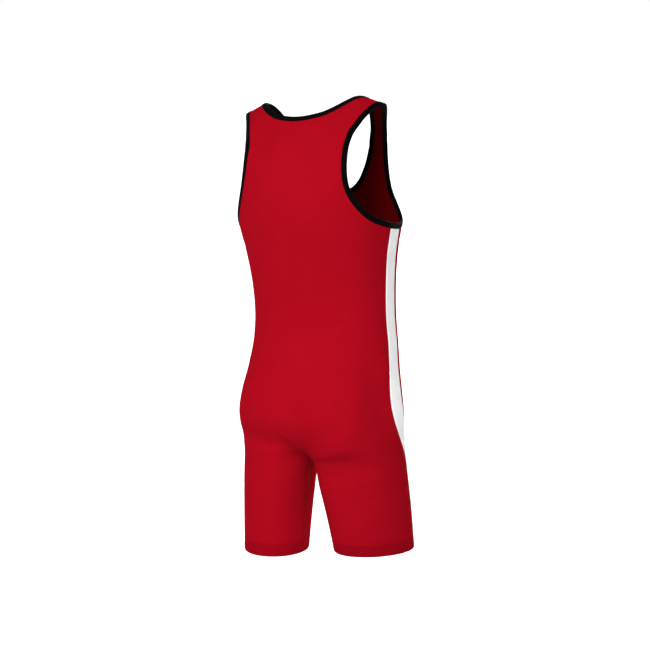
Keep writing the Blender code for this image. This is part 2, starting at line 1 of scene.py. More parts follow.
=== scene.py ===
"""Looks of a weightlifting singlet: red stretch jersey, black bindings, plain white side bands.

Metres, +Z up. The front faces -Y and the wearer's left is +X. A place on the cloth is
(share, run): share is 0 at the centre line or inseam and 1 at the side seam, and run is
the way down the cloth from the shoulder seam. Every piece is cut from that one surface.
"""
import math
from collections import namedtuple

import bmesh
import bpy
import numpy as np
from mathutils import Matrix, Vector
from mathutils.geometry import delaunay_2d_cdt


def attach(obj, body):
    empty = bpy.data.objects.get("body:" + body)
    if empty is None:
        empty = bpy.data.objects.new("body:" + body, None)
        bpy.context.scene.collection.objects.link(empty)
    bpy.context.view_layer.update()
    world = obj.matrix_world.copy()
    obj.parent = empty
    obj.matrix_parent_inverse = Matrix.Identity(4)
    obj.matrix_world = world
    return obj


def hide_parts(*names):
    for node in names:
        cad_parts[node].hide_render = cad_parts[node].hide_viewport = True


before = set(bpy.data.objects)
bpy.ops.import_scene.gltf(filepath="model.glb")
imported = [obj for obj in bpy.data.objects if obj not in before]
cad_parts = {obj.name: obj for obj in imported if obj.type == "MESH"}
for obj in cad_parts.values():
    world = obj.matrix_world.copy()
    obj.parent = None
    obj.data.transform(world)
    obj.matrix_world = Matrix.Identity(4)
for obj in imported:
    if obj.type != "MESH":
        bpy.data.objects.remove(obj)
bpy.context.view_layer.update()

# Cloth and trim thicknesses and widths
WALL = 0.0015
HEM_WALL = 0.0028
HEM_DEPTH = 0.024
SEAM_GAP = 0.0003
SEAM_DIP = 0.0003
BINDING_WIDTH = 0.0095
BINDING_WALL = 0.0011
BAND_WIDTH = 0.034
BAND_WALL = 0.0010
BAND_EDGE_ROUND = 0.0010

# Spacing of the points along edges and inside the panels
EDGE_SPACING = 0.0055
FACET = 0.0055
BAND_COLUMNS = (0.0, 0.34, 0.68, 1.0)
FOLD_STEPS = 6

# Heights that divide the garment
CAP_HEIGHT = -0.085
BLEND_HEIGHT = -0.590
CROTCH_HEIGHT = -0.690
HEM_HEIGHT = -0.875

# Run of cloth over each stretch, from the shoulder seam down
CAP_RUN = 0.110
BODY_RUN = CAP_HEIGHT - BLEND_HEIGHT
SEAT_RUN = 0.140
LEG_RUN = CROTCH_HEIGHT - HEM_HEIGHT
SEAT_START = CAP_RUN + BODY_RUN
CROTCH_RUN = SEAT_START + SEAT_RUN
HEM_RUN = CROTCH_RUN + LEG_RUN
HEM_LINE_RUN = HEM_RUN - HEM_DEPTH

# Roundness of the torso ring and of the shoulder, as superellipse powers
RING_POWER = 2.25
CAP_POWER = 2.4

# Slope of the shoulders, outward from the neck
SHOULDER_SLOPE = 0.40
NECK_POINT = 0.103
NECK_POINT_SOFTNESS = 0.010
SLOPE_FADE_TOP = -0.030
SLOPE_FADE_BOTTOM = -0.170

# The legs' sections are ovals that lean forward and outward
LEG_LEAN = 0.20
TORSO_SEAM_TURN = math.radians(182)
LEG_SEAM_TURN = math.radians(221)
SEAM_DRIFT_TOP = -0.570
SEAM_DRIFT_BOTTOM = -0.740
SADDLE_DEPTH = 0.020
SADDLE_REACH = 0.25
SADDLE_RISE = 0.40
SADDLE_SPAN = 0.40

BACK = 1
FRONT = -1
LEFT = 1
RIGHT = -1
OUTWARD = 1
INWARD = -1
SIDES = ((LEFT, "left"), (RIGHT, "right"))

# Torso sections: height, half width, and how far back, side and front lie from the
# shoulder line
TORSO = (
    (-0.670, 0.172, 0.090, -0.030, -0.111),
    (-0.620, 0.171, 0.098, -0.030, -0.121),
    (-0.570, 0.164, 0.092, -0.028, -0.134),
    (-0.520, 0.154, 0.079, -0.035, -0.144),
    (-0.470, 0.147, 0.068, -0.043, -0.147),
    (-0.420, 0.143, 0.066, -0.042, -0.147),
    (-0.360, 0.144, 0.076, -0.038, -0.144),
    (-0.300, 0.151, 0.090, -0.030, -0.141),
    (-0.240, 0.163, 0.105, -0.023, -0.141),
    (-0.190, 0.168, 0.109, -0.018, -0.136),
    (-0.135, 0.174, 0.100, -0.014, -0.122),
    (-0.090, 0.178, 0.086, -0.010, -0.105),
    (-0.045, 0.176, 0.067, -0.006, -0.078),
    (0.020, 0.170, 0.050, 0.000, -0.050),
)

# Leg sections: share of the leg's length below the crotch, how far out and back the
# section's middle lies, its half width and its half depth
LEG = (
    (-0.55, 0.081, -0.018, 0.0790, 0.0990),
    (0.00, 0.087, -0.022, 0.0768, 0.0950),
    (0.25, 0.092, -0.026, 0.0748, 0.0920),
    (0.55, 0.098, -0.032, 0.0716, 0.0880),
    (1.00, 0.105, -0.040, 0.0672, 0.0820),
)

# How far each hem is shifted by the stance
Stance = namedtuple("Stance", "back up")
STANCE = {LEFT: Stance(0.008, -0.009), RIGHT: Stance(-0.008, 0.009)}

# How far back the middle line lies that the folds are lifted away from
MIDDLE_BACK = -0.030

# Outlines of the openings on one half of a panel, from the shoulder down, as distances
# out and heights
NECK = {
    BACK: (
        (0.1060, 0.0), (0.0955, -0.0060), (0.0800, -0.0175),
        (0.0600, -0.0292), (0.0400, -0.0362), (0.0000, -0.0412),
    ),
    FRONT: (
        (0.1060, 0.0), (0.0910, -0.0400), (0.0700, -0.0860),
        (0.0510, -0.1220), (0.0285, -0.1530), (0.0000, -0.1680),
    ),
}
ARMHOLE_BOTTOM = -0.243
ARMHOLE = {
    BACK: (
        (0.1510, 0.0), (0.1265, -0.045), (0.1143, -0.088), (0.1120, -0.130),
        (0.1158, -0.170), (0.1268, -0.200), (0.1410, -0.223), (0.1535, -0.236),
    ),
    FRONT: (
        (0.1510, 0.0), (0.1270, -0.045), (0.1126, -0.088), (0.1075, -0.130),
        (0.1107, -0.170), (0.1267, -0.202), (0.1446, -0.226), (0.1550, -0.2365),
    ),
}

# The cloth's soft folds, as long soft bumps between two tips. A row has the round and run
# of one tip and of the other, half the fold's width, and its lift, which is negative where
# the cloth sinks. Round is 0 at the centre back, 1 at the left side seam and 2 at the
# centre front, and negative on the right.
FOLDS = (
    (0.27, 0.074, 0.24, 0.150, 0.042, -0.0060),
    (0.15, 0.110, 0.07, 0.250, 0.055, 0.0028),
    (-0.27, 0.082, -0.15, 0.178, 0.040, -0.0035),
    (-0.10, 0.080, -0.14, 0.265, 0.036, -0.0065),
    (-0.31, 0.105, -0.34, 0.260, 0.045, 0.0030),
    (0.27, 0.225, 0.46, 0.295, 0.046, -0.0030),
    (-0.78, 0.480, -0.56, 0.590, 0.055, -0.0045),
    (-0.77, 0.520, -0.76, 0.705, 0.074, -0.0125),
    (0.00, 0.540, 0.00, 0.668, 0.048, -0.0045),
    (0.74, 0.700, 0.08, 0.658, 0.046, -0.0055),
    (0.24, 0.648, 0.00, 0.738, 0.036, -0.0040),
    (-0.12, 0.690, -0.64, 0.688, 0.060, 0.0060),
    (-0.02, 0.788, -0.72, 0.748, 0.054, -0.0190),
    (-0.12, 0.832, -0.70, 0.812, 0.066, -0.0080),
    (1.62, 0.632, 1.95, 0.722, 0.040, -0.0035),
    (-1.58, 0.640, -1.94, 0.718, 0.040, -0.0030),
    (1.40, 0.455, 1.88, 0.500, 0.036, -0.0030),
    (-1.36, 0.518, -1.84, 0.478, 0.038, -0.0035),
    (1.76, 0.200, 1.62, 0.330, 0.070, 0.0035),
    (-1.74, 0.200, -1.64, 0.320, 0.070, 0.0035),
    (1.97, 0.215, 1.99, 0.400, 0.045, -0.0030),
)

# The folds die out this near the inseam, and this far above the crotch
INSEAM_REST = 0.04
CROTCH_REST = 0.020

# The finer creases. Their rows end with one more value, the bend: how far the crease's
# middle lies aside of the straight line.
CREASES = (
    # Over the shoulder blades
    (0.40, 0.098, 0.24, 0.126, 0.022, -0.0016, 0.004),
    (-0.20, 0.128, -0.42, 0.104, 0.020, -0.0014, 0.004),
    # Drag lines below the armholes, on the back
    (0.90, 0.272, 0.52, 0.318, 0.011, -0.0010, 0.006),
    (0.94, 0.300, 0.64, 0.352, 0.013, -0.0008, 0.005),
    (-0.88, 0.270, -0.56, 0.300, 0.011, -0.0011, -0.006),
    (-0.93, 0.296, -0.60, 0.345, 0.014, -0.0009, -0.005),
    # The small of the back
    (0.04, 0.415, 0.52, 0.432, 0.015, -0.0007, 0.006),
    (0.12, 0.447, 0.66, 0.455, 0.018, -0.0008, -0.005),
    (-0.06, 0.462, -0.50, 0.446, 0.015, -0.0008, 0.006),
    (-0.20, 0.494, -0.70, 0.478, 0.017, -0.0007, 0.004),
    # Flanks over the hips
    (0.96, 0.505, 0.66, 0.548, 0.016, -0.0010, 0.006),
    (0.94, 0.560, 0.70, 0.612, 0.018, -0.0009, 0.005),
    (-0.92, 0.500, -0.66, 0.538, 0.016, -0.0011, -0.006),
    (-0.90, 0.582, -0.72, 0.645, 0.018, -0.0009, -0.006),
    # Under the seat and at the crotch, on the back
    (0.70, 0.692, 0.06, 0.716, 0.042, -0.0085, -0.004),
    (0.66, 0.752, 0.08, 0.776, 0.050, -0.0050, -0.004),
    (0.24, 0.722, 0.00, 0.782, 0.046, -0.0170, -0.004),
    (0.62, 0.712, 0.16, 0.690, 0.014, -0.0013, 0.010),
    (0.48, 0.742, 0.18, 0.722, 0.012, -0.0009, 0.006),
    (-0.12, 0.722, -0.58, 0.733, 0.014, -0.0013, -0.009),
    (-0.20, 0.758, -0.56, 0.764, 0.013, -0.0008, -0.006),
    (0.16, 0.640, 0.05, 0.712, 0.010, -0.0009, 0.004),
    (-0.15, 0.648, -0.05, 0.718, 0.010, -0.0009, -0.004),
    # Backs of the thighs
    (0.20, 0.800, 0.50, 0.838, 0.020, -0.0008, 0.008),
    (0.66, 0.822, 0.86, 0.905, 0.020, -0.0008, 0.006),
    (-0.18, 0.806, -0.48, 0.850, 0.020, -0.0009, -0.008),
    (-0.70, 0.800, -0.84, 0.890, 0.020, -0.0008, -0.006),
    # Front: chest, waist, lap and thighs
    (1.10, 0.272, 1.44, 0.312, 0.012, -0.0010, -0.006),
    (-1.12, 0.268, -1.40, 0.318, 0.012, -0.0011, 0.006),
    (1.42, 0.410, 1.92, 0.426, 0.016, -0.0008, 0.006),
    (1.55, 0.545, 1.93, 0.556, 0.016, -0.0007, 0.006),
    (-1.40, 0.432, -1.90, 0.448, 0.016, -0.0008, -0.006),
    (-1.50, 0.560, -1.90, 0.540, 0.017, -0.0008, -0.005),
    (1.52, 0.668, 1.90, 0.714, 0.013, -0.0011, 0.008),
    (1.60, 0.742, 1.88, 0.736, 0.012, -0.0008, 0.006),
    (-1.50, 0.676, -1.91, 0.710, 0.013, -0.0011, -0.008),
    (-1.62, 0.740, -1.87, 0.742, 0.012, -0.0008, -0.006),
    (1.50, 0.800, 1.78, 0.846, 0.020, -0.0008, 0.008),
    (-1.48, 0.812, -1.80, 0.838, 0.020, -0.0008, -0.008),
)

# Rows of the turned hem: how far below its line each lies, how far the stitches and the
# roll lift the cloth there, and how thick the wall is
HemRow = namedtuple("HemRow", "below relief wall")
HEM_ROWS = (
    HemRow(0.0000, 0.0000, WALL),
    HemRow(0.0020, 0.0002, HEM_WALL),
    HemRow(0.0035, -0.0003, HEM_WALL),
    HemRow(0.0060, 0.0003, HEM_WALL),
    HemRow(0.0085, -0.0003, HEM_WALL),
    HemRow(0.0120, 0.0004, HEM_WALL),
    HemRow(0.0175, 0.0004, HEM_WALL),
    HemRow(HEM_DEPTH - HEM_WALL / 2, 0.0000, HEM_WALL),
)
HEM_NEEDLES = (2, 4)

# The binding's outer face across its width, from its free edge to its fold: how far
# across, and its height in binding walls. It dips at its two rows of stitches.
BINDING_ROLL = (
    (0.00, 0.35), (0.04, 0.80), (0.11, 1.00), (0.20, 0.82), (0.33, 1.04),
    (0.46, 0.86), (0.62, 1.10), (0.80, 1.20), (0.94, 1.12),
)
BINDING_NEEDLES = (3, 5)

# The side band's rounded edge: how far in, in roundings, and how high, in band walls
BAND_EDGE = ((0.0, 0.4), (0.3, 0.85), (1.0, 1.0))

# Sewing thread: thickness, stitch lengths, how far each row lies from its edge, and how
# much of its step a stitch covers
THREAD = 0.00036
STITCH = 0.0027
HEM_STITCH = 0.0030
BAND_NEEDLE_IN = 0.0022
FLATLOCK_REACH = 0.0024
FLATLOCK_PITCH = 0.0021
ROW_COVER = 0.84
FLATLOCK_COVER = 0.9

# A stitch is a tube through rings: the share of its length and the size of each. A ring
# of the level size would have its middle level with the cloth.
THREAD_SIDES = 5
THREAD_RINGS = ((0.10, 0.70), (0.50, 1.00), (0.90, 0.70))
LEVEL_SIZE = 0.8

# Flat width that stands for a half panel wherever places are measured on the flat
LAYOUT_WIDTH = 0.24
CURVE_STEPS = 40
LINE_STEPS = 320
PAST_BAND = 0.7
INNER_CLEARANCE = 0.6
TRIANGLES_INSIDE = 1
PROBE = 1e-4
WELD = 1e-5
SHARP_ANGLE = math.radians(50)
UV_MAP = "cloth"

def ease(value):
    value = np.clip(value, 0.0, 1.0)
    return value * value * (3.0 - 2.0 * value)


def mix(start, end, share):
    return start + (end - start) * share


def signed_power(value, power):
    return np.sign(value) * np.abs(value) ** power


def unit(vectors):
    return vectors / np.linalg.norm(vectors, axis=-1, keepdims=True)


def read_table(rows, places):
    """Smooth curves through a table's columns, read at places in its first column"""
    knots, *columns = np.array(rows).T
    places = np.clip(np.asarray(places, float), knots[0], knots[-1])
    low = np.clip(np.searchsorted(knots, places) - 1, 0, len(knots) - 2)
    width = knots[low + 1] - knots[low]
    f = (places - knots[low]) / width
    curves = []
    for values in columns:
        slopes = np.gradient(values, knots)
        curves.append(
            (1 + 2 * f) * (1 - f) ** 2 * values[low]
            + f * (1 - f) ** 2 * width * slopes[low]
            + f * f * (3 - 2 * f) * values[low + 1]
            + f * f * (f - 1) * width * slopes[low + 1]
        )
    return curves


def travel(points):
    """How far along a line of points each of them lies"""
    return np.concatenate([[0], np.cumsum(np.linalg.norm(np.diff(points, axis=0), axis=1))])


def cap_height(run):
    turn = math.pi / 2 * np.clip(run, -CAP_RUN, CAP_RUN) / CAP_RUN
    return CAP_HEIGHT * (1 - np.cos(turn) ** (2 / CAP_POWER))


def cap_run(height):
    level = np.clip(1 - height / CAP_HEIGHT, 0.0, 1.0)
    return CAP_RUN * 2 / math.pi * np.arccos(level ** (CAP_POWER / 2))


def run_at(height):
    """The run down the cloth to a height above the seat"""
    return np.where(height > CAP_HEIGHT, cap_run(height), CAP_RUN + CAP_HEIGHT - height)


def ring_point(turn, height):
    """A point of the torso ring; turn is 0 at the centre back and pi at the centre front"""
    half_width, back, side, front = read_table(TORSO, height)
    across = signed_power(np.sin(turn), 2 / RING_POWER)
    along = signed_power(np.cos(turn), 2 / RING_POWER)
    depth = np.where(along > 0, back - side, side - front)
    return half_width * across, side + depth * along


def leg_point(turn, share, side):
    """A point of a leg's oval; turn is 0 at the inseam and a quarter circle at the back"""
    out, back, half_width, half_depth = read_table(LEG, share)
    back = back + STANCE[side].back * np.clip(share, 0, 1)
    across = -np.cos(turn)
    along = math.sqrt(1 - LEG_LEAN ** 2) * np.sin(turn) - LEG_LEAN * across
    return out + half_width * across, back + half_depth * along


def soft_bump(place, run, start_round, start_run, end_round, end_run, reach, lift, bend=0.0):
    """The lift of one fold at a place round the body and down it"""
    middle = (start_round + end_round) / 2
    across = ((place - middle + 2) % 4 - 2) * LAYOUT_WIDTH
    down = run - (start_run + end_run) / 2
    half = np.array([(end_round - middle) * LAYOUT_WIDTH, (end_run - start_run) / 2])
    length = np.hypot(*half)
    along = (across * half[0] + down * half[1]) / length
    aside = (across * half[1] - down * half[0]) / length
    level = (along / length) ** 2
    inside = 1 - level - ((aside - bend * (1 - level)) / reach) ** 2
    return lift * np.clip(inside, 0, 1) ** 2


def cloth_point(share, run, face, side):
    """Where a place on the cloth lies in space, for one panel and one side of the body"""
    share, run = np.broadcast_arrays(np.asarray(share, float), np.asarray(run, float))
    rise = np.clip((CROTCH_RUN - run) / SEAT_RUN, 0, 1)
    blend = rise * (2 * share + SADDLE_SPAN * rise) / (2 * share + SADDLE_SPAN)
    leg_share = np.clip((run - CROTCH_RUN) / LEG_RUN, 0, 1)
    height = np.where(
        run < CAP_RUN,
        cap_height(run),
        np.where(run < SEAT_START, CAP_HEIGHT - (run - CAP_RUN), mix(CROTCH_HEIGHT, BLEND_HEIGHT, blend)),
    )
    height = height - LEG_RUN * leg_share

    # Above the crotch the cloth spans from leg to leg, and below it the legs part in an arch
    span = np.hypot(share, SADDLE_RISE * np.sqrt(blend)) - share
    leg_place = share + span * (1 - share ** 2)
    below = np.clip((CROTCH_HEIGHT - height) / SADDLE_DEPTH, 0, 1)
    arch = np.sqrt(1 - (1 - below) ** 2)
    beside = np.clip(share / SADDLE_REACH, 0, 1)
    apart = np.hypot(arch, np.sqrt(1 - arch ** 2) * beside * (2 - beside))

    seam_drift = ease((SEAM_DRIFT_TOP - height) / (SEAM_DRIFT_TOP - SEAM_DRIFT_BOTTOM))
    seam_turn = mix(TORSO_SEAM_TURN, LEG_SEAM_TURN, seam_drift)
    if face == BACK:
        ring_turn = share * math.pi / 2
        leg_turn = leg_place * seam_turn
    else:
        ring_turn = math.pi - share * math.pi / 2
        leg_turn = 2 * math.pi - leg_place * (2 * math.pi - seam_turn)

    ring_out, ring_back = ring_point(ring_turn, height)
    oval_share = (CROTCH_HEIGHT - height) / LEG_RUN
    leg_out, leg_back = leg_point(leg_turn, oval_share, side)
    leg_out = leg_out * apart

    out = mix(leg_out, ring_out, ease(blend))
    back = mix(leg_back, ring_back, ease(blend))

    place = side * (share if face == BACK else 2 - share)
    at_inseam = ease((run - CROTCH_RUN + CROTCH_REST) / CROTCH_REST) * (1 - ease(share / INSEAM_REST))
    lift = np.sum([soft_bump(place, run, *fold) for fold in FOLDS + CREASES], axis=0) * (1 - at_inseam)
    away = np.hypot(out, back - MIDDLE_BACK)
    out = out * (1 + lift / away)
    back = back + (back - MIDDLE_BACK) * lift / away

    # The shoulders round over to the seam line, and fall away from the neck
    over = math.pi / 2 * np.clip(run, -CAP_RUN, CAP_RUN) / CAP_RUN
    back = back * signed_power(np.sin(over), 2 / CAP_POWER)
    past_neck = out - NECK_POINT
    fall = (np.sqrt(past_neck ** 2 + NECK_POINT_SOFTNESS ** 2) + past_neck) / 2
    fade = ease((height - SLOPE_FADE_BOTTOM) / (SLOPE_FADE_TOP - SLOPE_FADE_BOTTOM))
    height = height - SHOULDER_SLOPE * fall * fade + STANCE[side].up * leg_share
    return np.stack([side * out, back, height], -1)


def place_on_torso(out, height):
    """The share and run of a torso point, from its distance out and its height"""
    half_width = read_table(TORSO, height)[0]
    share = np.arcsin(np.clip(out / half_width, 0, 1) ** (RING_POWER / 2)) * 2 / math.pi
    return np.stack([share, run_at(height)], -1)


def smooth_curve(places, before, after):
    """Catmull-Rom curve through places, with the given places past its two ends"""
    knots = np.vstack([before, places, after])
    t = np.linspace(0, 1, CURVE_STEPS, endpoint=False)[:, None]
    pieces = []
    for i in range(1, len(knots) - 2):
        a, b, c, d = knots[i - 1:i + 3]
        pieces.append(
            (2 * b + (c - a) * t + (2 * a - 5 * b + 4 * c - d) * t ** 2
             + (3 * b - a - 3 * c + d) * t ** 3) / 2
        )
    return np.vstack(pieces + [knots[-2:-1]])


def spread(places, face, spacing):
    """Places at even distances in space along a dense line on the cloth"""
    points = cloth_point(places[:, 0], places[:, 1], face, LEFT)
    travelled = travel(points)
    count = max(1, round(travelled[-1] / spacing))
    stops = np.linspace(0, travelled[-1], count + 1)
    return np.stack([np.interp(stops, travelled, places[:, k]) for k in (0, 1)], -1)


def even_line(start, end, face, spacing=EDGE_SPACING):
    return spread(np.linspace(start, end, LINE_STEPS), face, spacing)


def step_in(place, along, face, hand):
    """The place a binding's width straight in from an edge, on its left or right hand"""
    share, run = place
    across = cloth_point(share + PROBE, run, face, LEFT) - cloth_point(share - PROBE, run, face, LEFT)
    down = cloth_point(share, run + PROBE, face, LEFT) - cloth_point(share, run - PROBE, face, LEFT)
    axes = np.stack([across, down], -1) / (2 * PROBE)
    inward = np.cross(np.cross(across, down), axes @ along)
    inward = inward / np.linalg.norm(inward)
    change = np.linalg.lstsq(axes, inward * BINDING_WIDTH, rcond=None)[0]
    side = hand * (along[1] * change[0] - along[0] * change[1])
    return place + math.copysign(1, side) * change


def inset_line(edge, face, hand, shoulder_out):
    """The line a binding's width in from an opening's edge, which starts on the shoulder"""
    alongs = np.gradient(edge, axis=0)
    inset = np.array([step_in(place, along, face, hand) for place, along in zip(edge, alongs)])
    level = BINDING_WIDTH * math.cos(math.atan(SHOULDER_SLOPE))
    inset[0] = place_on_torso(shoulder_out + hand * level, 0.0)
    return inset


def shares_beside_seam(run, face):
    """The shares at the side band's columns, from its edge to the side seam"""
    shares = np.linspace(1, PAST_BAND, LINE_STEPS)
    travelled = travel(cloth_point(shares, run, face, LEFT))
    return [float(np.interp(BAND_WIDTH / 2 * (1 - column), travelled, shares)) for column in BAND_COLUMNS]


def neck_edging(face):
    """The neck's edge and the line a binding's width in, from the shoulder to the centre"""
    corners = np.array([place_on_torso(*corner) for corner in NECK[face]])
    curve = smooth_curve(corners, corners[1] * (1, -1), corners[-2] * (-1, 1))
    edge = spread(curve, face, EDGE_SPACING)
    inset = inset_line(edge, face, OUTWARD, NECK[face][0][0])
    inset[-1] = (0, inset[-2][1] + edge[-1][1] - edge[-2][1])
    return edge, inset


def armhole_edging(face):
    """The armhole's edge and the line a binding's width in, from the shoulder to the side"""
    bottom = np.array([1, float(run_at(ARMHOLE_BOTTOM))])
    corners = np.array([place_on_torso(*corner) for corner in ARMHOLE[face]] + [bottom])
    curve = smooth_curve(corners, corners[1] * (1, -1), (2 - corners[-2][0], corners[-2][1]))
    columns = shares_beside_seam(bottom[1], face)
    last = curve[-CURVE_STEPS:]
    below_band = np.array([(share, np.interp(share, last[:, 0], last[:, 1])) for share in columns])
    upper = np.vstack([curve[curve[:, 0] < columns[0]], below_band[:1]])
    edge = np.vstack([spread(upper, face, EDGE_SPACING), below_band[1:]])
    inset = inset_line(edge, face, INWARD, ARMHOLE[face][0][0])
    count = len(columns)
    inset[-count:] = edge[-count:] + (0, BINDING_WIDTH)
    return edge, inset


class Layout:
    """One half panel laid out on the cloth: its places, and the triangles that join them"""

    def __init__(self, face):
        self.face = face
        self.places = []
        self.fixed_edges = []
        neck_edge, neck_inset = neck_edging(face)
        armhole_edge, armhole_inset = armhole_edging(face)
        self.neck = self.add_strip(neck_edge, neck_inset)
        self.armhole = self.add_strip(armhole_edge, armhole_inset)
        shoulder = even_line(neck_inset[0], armhole_inset[0], face)[1:-1]
        self.shoulder = [self.neck[1][0], *self.add(shoulder), self.armhole[1][0]]
        self.join(self.shoulder)

        side_runs = even_line(armhole_inset[-1], (1, HEM_LINE_RUN), face)[1:-1, 1]
        crotch = (0, CROTCH_RUN)
        centre = self.add(even_line(neck_inset[-1], crotch, face)[1:])
        inseam = self.add(even_line(crotch, (0, HEM_LINE_RUN), face)[1:-1])
        self.hem_rows = self.add_hem_rows()
        self.join([self.neck[1][-1], *centre, *inseam, self.hem_rows[0][0]])
        self.inseam = [centre[-1], *inseam, *(row[0] for row in self.hem_rows)]
        for upper, lower in zip(self.hem_rows, self.hem_rows[1:]):
            self.join_strip(upper, lower)

        width = len(BAND_COLUMNS)
        side_shares = [shares_beside_seam(run, face) for run in side_runs]
        self.band = []
        for k in range(width):
            column = self.add([(shares[k], run) for shares, run in zip(side_shares, side_runs)])
            top = self.armhole[1][k - width]
            self.band.append([top, *column, *(row[k - width] for row in self.hem_rows)])
        for outer, inner in zip(self.band, self.band[1:]):
            self.join_strip(outer, inner)
        self.add_inner_places()
        self.triangulate()

    def add(self, places):
        first = len(self.places)
        self.places.extend(tuple(float(value) for value in place) for place in places)
        return list(range(first, len(self.places)))

    def join(self, chain):
        self.fixed_edges.extend(zip(chain, chain[1:]))

    def join_strip(self, first, second):
        """Fix both sides, the rungs and the diagonals of a strip between two chains"""
        self.join(first)
        self.join(second)
        self.fixed_edges.extend(zip(first, second))
        self.fixed_edges.extend(zip(first, second[1:]))

    def add_strip(self, edge, inset):
        chains = self.add(edge), self.add(inset)
        self.join_strip(*chains)
        return chains

    def add_hem_rows(self):
        """Places along the rows of the turned hem, from its line to its fold"""
        beside = shares_beside_seam(HEM_RUN, self.face)[0]
        even = even_line((0, HEM_RUN), (beside, HEM_RUN), self.face)[:-1, 0] / beside
        rows = []
        for row in HEM_ROWS:
            run = HEM_LINE_RUN + row.below
            columns = shares_beside_seam(run, self.face)
            rows.append(self.add((share, run) for share in (*even * columns[0], *columns)))
        return rows

    def add_inner_places(self):
        """Fill the panel with evenly spaced places, clear of the fixed edges"""
        fixed = np.array(self.places)
        ends = np.array(self.fixed_edges)
        stops = np.vstack([fixed, (fixed[ends[:, 0]] + fixed[ends[:, 1]]) / 2])
        taken = cloth_point(stops[:, 0], stops[:, 1], self.face, LEFT)
        rows = even_line((0.5, 0), (0.5, HEM_LINE_RUN), self.face, FACET * math.sqrt(3) / 2)[1:-1, 1]
        for number, run in enumerate(rows):
            shares = even_line((0, run), (1, run), self.face, FACET)[:, 0]
            if number % 2:
                shares = (shares[:-1] + shares[1:]) / 2
            points = cloth_point(shares, run, self.face, LEFT)
            nearest = np.linalg.norm(points[:, None] - taken[None], axis=-1).min(axis=1)
            self.add((share, run) for share in shares[nearest > INNER_CLEARANCE * FACET])

    def triangulate(self):
        flat = [(share * LAYOUT_WIDTH, run) for share, run in self.places]
        result = delaunay_2d_cdt(flat, self.fixed_edges, [], TRIANGLES_INSIDE, WELD)
        origins = [sources[0] for sources in result[3]]
        self.triangles = [[origins[k] for k in face] for face in result[2]]
        self.smooth_triangles()

    def smooth_triangles(self):
        """Turn the edges that are free to turn wherever that makes the surface smoother"""
        shares, runs = np.array(self.places).T
        mesh = bmesh.new()
        verts = [mesh.verts.new(point) for point in cloth_point(shares, runs, self.face, LEFT)]
        mesh.verts.index_update()
        for triangle in self.triangles:
            mesh.faces.new([verts[k] for k in triangle])
        fixed = {frozenset(ends) for ends in self.fixed_edges}
        free = [edge for edge in mesh.edges if frozenset(v.index for v in edge.verts) not in fixed]
        bmesh.ops.beautify_fill(mesh, faces=mesh.faces[:], edges=free, method="ANGLE")
        self.triangles = [[vert.index for vert in face.verts] for face in mesh.faces]
        mesh.free()


class Cloth:
    """Both panels on both sides of the body, with the normals that all pieces share"""

    def __init__(self):
        self.layouts = {face: Layout(face) for face in (BACK, FRONT)}
        self.starts = {}
        points = []
        triangles = []
        for face, layout in self.layouts.items():
            places = np.array(layout.places)
            for side in (LEFT, RIGHT):
                self.starts[face, side] = len(points)
                own = np.array(layout.triangles) + len(points)
                if face * side < 0:
                    own = own[:, ::-1]
                triangles.append(own)
                points.extend(cloth_point(places[:, 0], places[:, 1], face, side))
        self.points = np.array(points)
        self.triangles = {face: np.vstack(triangles[k:k + 2]) for face, k in ((BACK, 0), (FRONT, 2))}
        self.same = self.find_same()
        self.normals = self.find_normals(np.vstack(triangles))

    def find_same(self):
        """The first of the points that lie in one place, for each point"""
        mesh = bmesh.new()
        for point in self.points:
            mesh.verts.new(point)
        mesh.verts.index_update()
        found = bmesh.ops.find_doubles(mesh, verts=mesh.verts, dist=WELD)["targetmap"]
        same = np.arange(len(self.points))
        for vert, target in found.items():
            same[vert.index] = target.index
        mesh.free()
        return same

    def find_normals(self, triangles):
        a, b, c = (self.points[triangles[:, k]] for k in range(3))
        facing = np.cross(b - a, c - a)
        normals = np.zeros_like(self.points)
        for k in range(3):
            np.add.at(normals, self.same[triangles[:, k]], facing)
        normals = normals[self.same]
        lengths = np.linalg.norm(normals, axis=1, keepdims=True)
        return normals / np.where(lengths > 0, lengths, 1)

    def chain(self, face, side, indices):
        return [self.same[self.starts[face, side] + k] for k in indices]


# A mesh before it becomes an object: its points, faces, texture places and, where it has
# more than one material, their numbers
Shape = namedtuple("Shape", "points faces places materials", defaults=((),))
OUTER_CLOTH = 0
INNER_CLOTH = 1
HEM_CLOTH = 2


def is_seam(first, second):
    """Whether an edge between two places is sewn to the other panel"""
    on_shoulder = first[1] == 0 and second[1] == 0
    on_side = first[0] == 1 and second[0] == 1
    on_inseam = first[0] == 0 and second[0] == 0 and min(first[1], second[1]) >= CROTCH_RUN - WELD
    return on_shoulder or on_side or on_inseam


